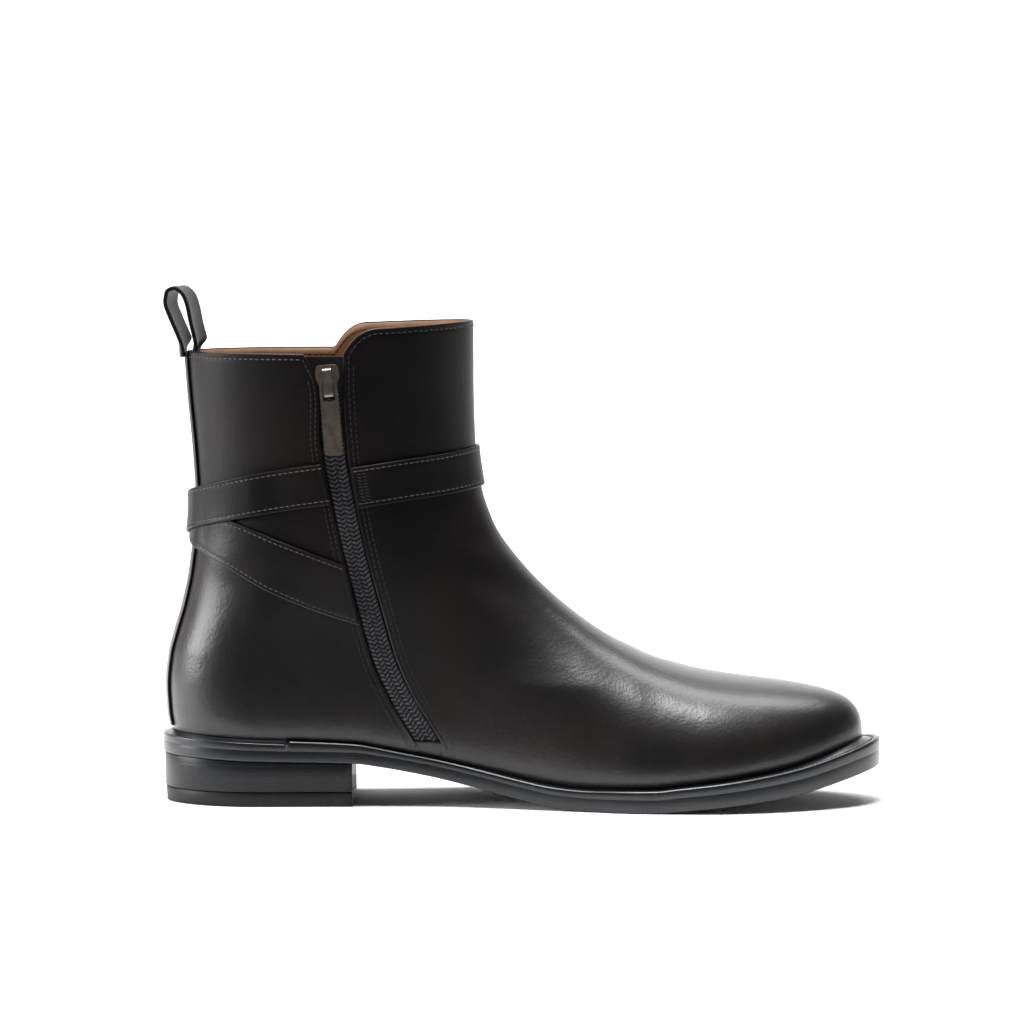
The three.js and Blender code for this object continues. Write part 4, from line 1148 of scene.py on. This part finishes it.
rand = strip_piece("heel_seat_rand", range(-joint, joint + 1), rand_section, SOLE)
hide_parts("heel_rand")
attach(rand, "boot")


def dress(node_name, material):
    """Gives a CAD node its real material."""
    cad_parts[node_name].data.materials.clear()
    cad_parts[node_name].data.materials.append(material)


dress("insole", LINING)
keys = np.arange(joint + 3, STATIONS - joint - 2)
groove = outline[keys] + outward[keys] * (edge_out[keys] - 2 * BEAD - 0.75)[:, None]
groove = np.concatenate([groove, (strip_top(station_x[keys]) - 0.62)[:, None]], 1)
stitch_piece(
    "welt_stitches", [(groove, np.tile([0.0, 0.0, 1.0], (len(keys), 1)))],
    thread_material("Waxed linen thread, grey", "#3a3c42", "#8b8d92"),
    2.3, 1.8, 0.7,
)

# Heel
# Stacked leather lifts over a rubber top lift, inked with the edge of the sole. The breast is
# hollowed a little.

TOP_LIFT = 6
BREAST_HOLLOW = 4


def heel_material(name, code, pale, roughness, lift_mm):
    """Lifts of leather or rubber, inked black, with a fine dark line where two meet."""
    material, tree, shader, where = new_material(name)
    grain = noise(tree, where, 1.5, 3)
    tree.links.new(ramp(tree, grain, (0.3, code), (0.8, pale)), shader.inputs["Base Color"])
    lines = node(
        tree, "ShaderNodeTexWave", {"Scale": 2 * math.pi / 20 * 1000 / lift_mm, "Distortion": 0.4},
        {"Vector": where}, wave_type="BANDS", bands_direction="Z",
    ).outputs["Fac"]
    sharp = node(tree, "ShaderNodeMapRange", {"From Min": 0.0, "From Max": 0.06}, {"Value": lines})
    first = bump(tree, sharp.outputs["Result"], 0.08, 0.5)
    tree.links.new(bump(tree, grain, 0.05, 1.0, first), shader.inputs["Normal"])
    shader.inputs["Roughness"].default_value = roughness
    shader.inputs["Specular IOR Level"].default_value = 0.35
    return material


HEEL = heel_material("Stacked leather lifts, inked", "#0b0d10", "#16181c", 0.36, 3.4)
RUBBER = heel_material("Black rubber top lift", "#090a0c", "#111215", 0.5, 60)
heel_run = [k for k in range(STATIONS // 2 + 1) if station_x[k] < HEEL_BREAST - 3]


def heel_ring(inset, height):
    """The heel's outline: round the back, then across the breast."""
    keys = [STATIONS - k for k in heel_run[:0:-1]] + heel_run
    flat = outline[keys] + outward[keys] * (edge_out[keys] - inset)[:, None]
    q = np.linspace(0, 1, 40)
    breast = HEEL_BREAST - BREAST_HOLLOW * 4 * q * (1 - q)
    flat = np.concatenate([flat, np.stack([breast, mix(flat[-1, 1], flat[0, 1], q)], -1)])
    return np.concatenate([flat, 0 * flat[:, :1] + height(flat[:, :1])], 1)


def heel_piece(name, levels, material, replaced):
    rings = [heel_ring(inset, height) for inset, height in levels]
    count = len(rings[0])
    faces = quads(len(rings), count, 0, True)
    last = (len(rings) - 1) * count
    faces += [tuple(range(count - 1, -1, -1)), tuple(range(last, last + count))]
    piece = mesh_piece(name, np.concatenate(rings), faces, material)
    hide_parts(replaced)
    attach(piece, "boot")


heel_piece(
    "heel_lifts",
    [
        (1.1, lambda x: TOP_LIFT + SEAM), (0.85, lambda x: TOP_LIFT + SEAM + 0.25),
        (0.55, lambda x: sole_bottom(x) - LAY - 0.3), (0.75, lambda x: sole_bottom(x) - 0.05),
    ],
    HEEL, "heel_stack",
)
heel_piece(
    "rubber_top_lift",
    [
        (2.0, lambda x: 0), (1.55, lambda x: 0.4), (1.05, lambda x: TOP_LIFT - 0.3),
        (1.3, lambda x: TOP_LIFT + 0.1),
    ],
    RUBBER, "top_lift",
)

# Zip tape and coils
# Black woven polyester tape behind the slot and two rows of nylon coil that mesh in its middle.


def tape_material():
    """Woven tape: matt black with the ribs of its weave."""
    material, tree, shader, where = new_material("Woven polyester zip tape")
    weave = noise(tree, where, 0.5, 1)
    black = ramp(tree, weave, (0.3, "#0a0a0c"), (0.8, "#1c1c20"))
    tree.links.new(black, shader.inputs["Base Color"])
    tree.links.new(bump(tree, weave, 0.08), shader.inputs["Normal"])
    shader.inputs["Roughness"].default_value = 0.85
    return material


TAPE = tape_material()
for name in ("zip_tape", "zip_chain"):
    dress(name, TAPE)

CHAIN_FACE = -WALL - LAY + SEAM + 1.8


def coil_material():
    """Nylon coil: smooth dark grey with a plastic shine."""
    material, tree, shader, where = new_material("Nylon coil")
    shade = noise(tree, where, 2, 1)
    grey = ramp(tree, shade, (0.3, "#2a2a2f"), (0.8, "#4c4c53"))
    tree.links.new(grey, shader.inputs["Base Color"])
    shader.inputs["Roughness"].default_value = 0.32
    return material


COIL = coil_material()
for name, slant, places in (
    ("coils_left", 1.05, (-3.1, 1.05)), ("coils_right", -1.05, (-1.05, 3.1))
):
    lines = [beside_slot(constant(d), SLOT_END + 1.4, 171, CHAIN_FACE - 0.1) for d in places]
    stitch_piece(name, lines, COIL, 1.85, 2.7, 1.0, slant)

# Metal parts
# Slider, pull tab, buckle frame and prong are die cast zinc with a gunmetal plating.


def metal_material():
    """Gunmetal plating: a dark, warm grey metal with soft handling marks."""
    material, tree, shader, where = new_material("Die cast zinc, gunmetal plated")
    rub = noise(tree, where, 3, 3)
    tree.links.new(ramp(tree, rub, (0.3, "#857b72"), (0.8, "#a89c90")), shader.inputs["Base Color"])
    shader.inputs["Metallic"].default_value = 1
    shader.inputs["Roughness"].default_value = 0.42
    return material


METAL = metal_material()


def rounded_copy(name, node_name, width, material, body):
    """The CAD part with its sharp edges rounded."""
    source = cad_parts[node_name]
    piece = bpy.data.objects.new(name, source.data.copy())
    bpy.context.scene.collection.objects.link(piece)
    bevel = piece.modifiers.new("rounded", "BEVEL")
    bevel.width = width / 1000
    bevel.segments = 3
    bevel.limit_method = "ANGLE"
    bevel.angle_limit = math.radians(30)
    graph = bpy.context.evaluated_depsgraph_get()
    finished = bpy.data.meshes.new_from_object(piece.evaluated_get(graph))
    piece.modifiers.clear()
    piece.data = finished
    finished.polygons.foreach_set("use_smooth", [True] * len(finished.polygons))
    finished.materials.clear()
    finished.materials.append(material)
    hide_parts(node_name)
    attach(piece, body)
    return piece


rounded_copy("slider", "zip_slider", 0.3, METAL, "boot")
rounded_copy("pull_tab_plate", "zip_pull", 0.25, METAL, "pull_tab")
rounded_copy("buckle", "buckle_frame", 0.5, METAL, "boot")
rounded_copy("prong", "buckle_prong", 0.4, METAL, "boot")
rounded_copy("keeper", "strap_keeper", 0.25, CALF, "boot")

# Pull loop
# A strap of the calf folded in two, sewn outside and inside the back of the collar.

LOOP_WIDTH = 17
LOOP_THICKNESS = 1.7
LOOP_RISE = 27
LOOP_LEG = 15
LOOP_HEM = 2.5
LOOP_SWING = 3.8
LOOP_FLATNESS = 0.35
COLLAR_RADIUS = 27.3
LOOP_PATH = table(
    "forward rise",
    (-0.15, 0.22), (-0.26, 0.52), (-0.335, 0.76), (-0.31, 0.91), (-0.2, 0.97),
    (-0.07, 0.88), (0.01, 0.68), (0.06, 0.4), (0.1, 0.18),
)


def loop_line():
    """The middle line of the loop in the side view, evenly spaced."""
    outside = BACK_STRIP_THICKNESS + SEAM + LAY + LOOP_THICKNESS / 2
    inside = -WALL - LAY - LOOP_THICKNESS / 2
    points = [(float(back_at(z)) - outside, z) for z in (REAR_COLLAR - LOOP_HEM, REAR_COLLAR)]
    for row in LOOP_PATH:
        x = float(back_at(REAR_COLLAR)) + row["forward"] * LOOP_RISE
        points.append((x, REAR_COLLAR + row["rise"] * LOOP_RISE))
    heights = (REAR_COLLAR, REAR_COLLAR - LOOP_LEG / 2, REAR_COLLAR - LOOP_LEG)
    points += [(float(back_at(z)) - inside, z) for z in heights]
    points = np.array(points)
    run = np.concatenate([[0], np.cumsum(np.linalg.norm(np.diff(points, axis=0), axis=1))])
    rows = [dict(run=r, x=a[0], z=a[1]) for r, a in zip(run, points)]
    fine = np.linspace(0, run[-1], 160)
    return np.stack([curve_of(rows, "run", "x")(fine), curve_of(rows, "run", "z")(fine)], -1)


line = loop_line()
tangent = np.gradient(line, axis=0)
tangent /= np.linalg.norm(tangent, axis=1, keepdims=True)
out = np.stack([-tangent[:, 1], tangent[:, 0]], -1)
across = (edge_spread(LOOP_WIDTH, 18) - 0.5) * LOOP_WIDTH
rise = (line[:, None, 1] - REAR_COLLAR) / LOOP_RISE
bent = mix(1, LOOP_FLATNESS, smooth(rise / 0.6)) * across ** 2 / (2 * COLLAR_RADIUS)
bent = bent + LOOP_SWING * (across / LOOP_WIDTH + 0.5) * smooth(rise / 0.2)
near = LOOP_WIDTH / 2 - np.abs(across)
half = LOOP_THICKNESS / 2 * (0.25 + 0.75 * rounded_end(near / 0.8))


def loop_face(sign):
    x = line[:, None, 0] + out[:, None, 0] * sign * half + bent
    z = line[:, None, 1] + out[:, None, 1] * sign * half
    return np.stack([x, np.broadcast_to(across, x.shape), z], -1)


pull_loop = sheet_piece("pull_loop_strap", loop_face(1), loop_face(-1), CALF)
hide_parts("pull_loop")
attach(pull_loop, "boot")

# Stage
# A pale, seamless floor with soft light from above and from the left. Its front edge is rolled
# down, so that the leg doesn't mirror it.

floor, tree, shader, where = new_material("Pale seamless backdrop")
shader.inputs["Base Color"].default_value = linear("#ffffff")
shader.inputs["Roughness"].default_value = 0.9
profile = [(-0.75, -0.36), (-0.16, -0.02), (-0.12, -0.003), (-0.1, 0.0), (1.6, 0.0)]
SWEEP = 1.2
turns = np.linspace(0.05, math.pi / 2, 24)
profile += [(1.6 + SWEEP * math.sin(a), SWEEP - SWEEP * math.cos(a)) for a in turns]
profile += [(2.8, 6.0)]
points = [(x, y, z) for y, z in profile for x in (-5.0, 5.0)]
faces = [(2 * i, 2 * i + 1, 2 * i + 3, 2 * i + 2) for i in range(len(profile) - 1)]
backdrop = bpy.data.objects.new("backdrop", bpy.data.meshes.new("backdrop"))
backdrop.data.from_pydata(points, [], faces)
backdrop.data.polygons.foreach_set("use_smooth", [True] * len(faces))
backdrop.data.materials.append(floor)
bpy.context.scene.collection.objects.link(backdrop)


def softbox(name, place, aim, size, power):
    """A square light with soft edges, turned to a point."""
    light = bpy.data.lights.new(name, "AREA")
    light.shape = "RECTANGLE"
    light.size, light.size_y = size
    light.energy = power
    lamp = bpy.data.objects.new(name, light)
    lamp.location = place
    toward = np.array(aim) - np.array(place)
    pitch = math.atan2(math.hypot(toward[0], toward[1]), -toward[2])
    lamp.rotation_euler = (pitch, 0, math.atan2(-toward[0], toward[1]))
    bpy.context.scene.collection.objects.link(lamp)
    return lamp


softbox("overhead", (0.0, -0.25, 1.7), (0.1, 0, 0.05), (0.8, 0.6), 38)
softbox("left", (-2.0, -0.2, 0.55), (0.0, 0, 0.1), (1.1, 0.8), 36)
softbox("backdrop", (0.1, 0.9, 2.6), (0.1, 2.2, 0.6), (3.0, 1.2), 110)
world = bpy.data.worlds.new("soft white")
world.use_nodes = True
world.node_tree.nodes["Background"].inputs["Color"].default_value = (1, 1, 1, 1)
world.node_tree.nodes["Background"].inputs["Strength"].default_value = 0.06
bpy.context.scene.world = world
bpy.context.scene.view_settings.view_transform = "Standard"

# Camera
# A long lens a little above the boot, which looks at its inner side.

camera = bpy.data.objects.new("camera", bpy.data.cameras.new("camera"))
camera.data.sensor_width = 36
camera.data.lens = 185.3
camera.location = (0.1062, -2.2, 0.278)
camera.rotation_euler = (math.radians(90 - 4.1), 0, 0)
bpy.context.scene.collection.objects.link(camera)
bpy.context.scene.camera = camera
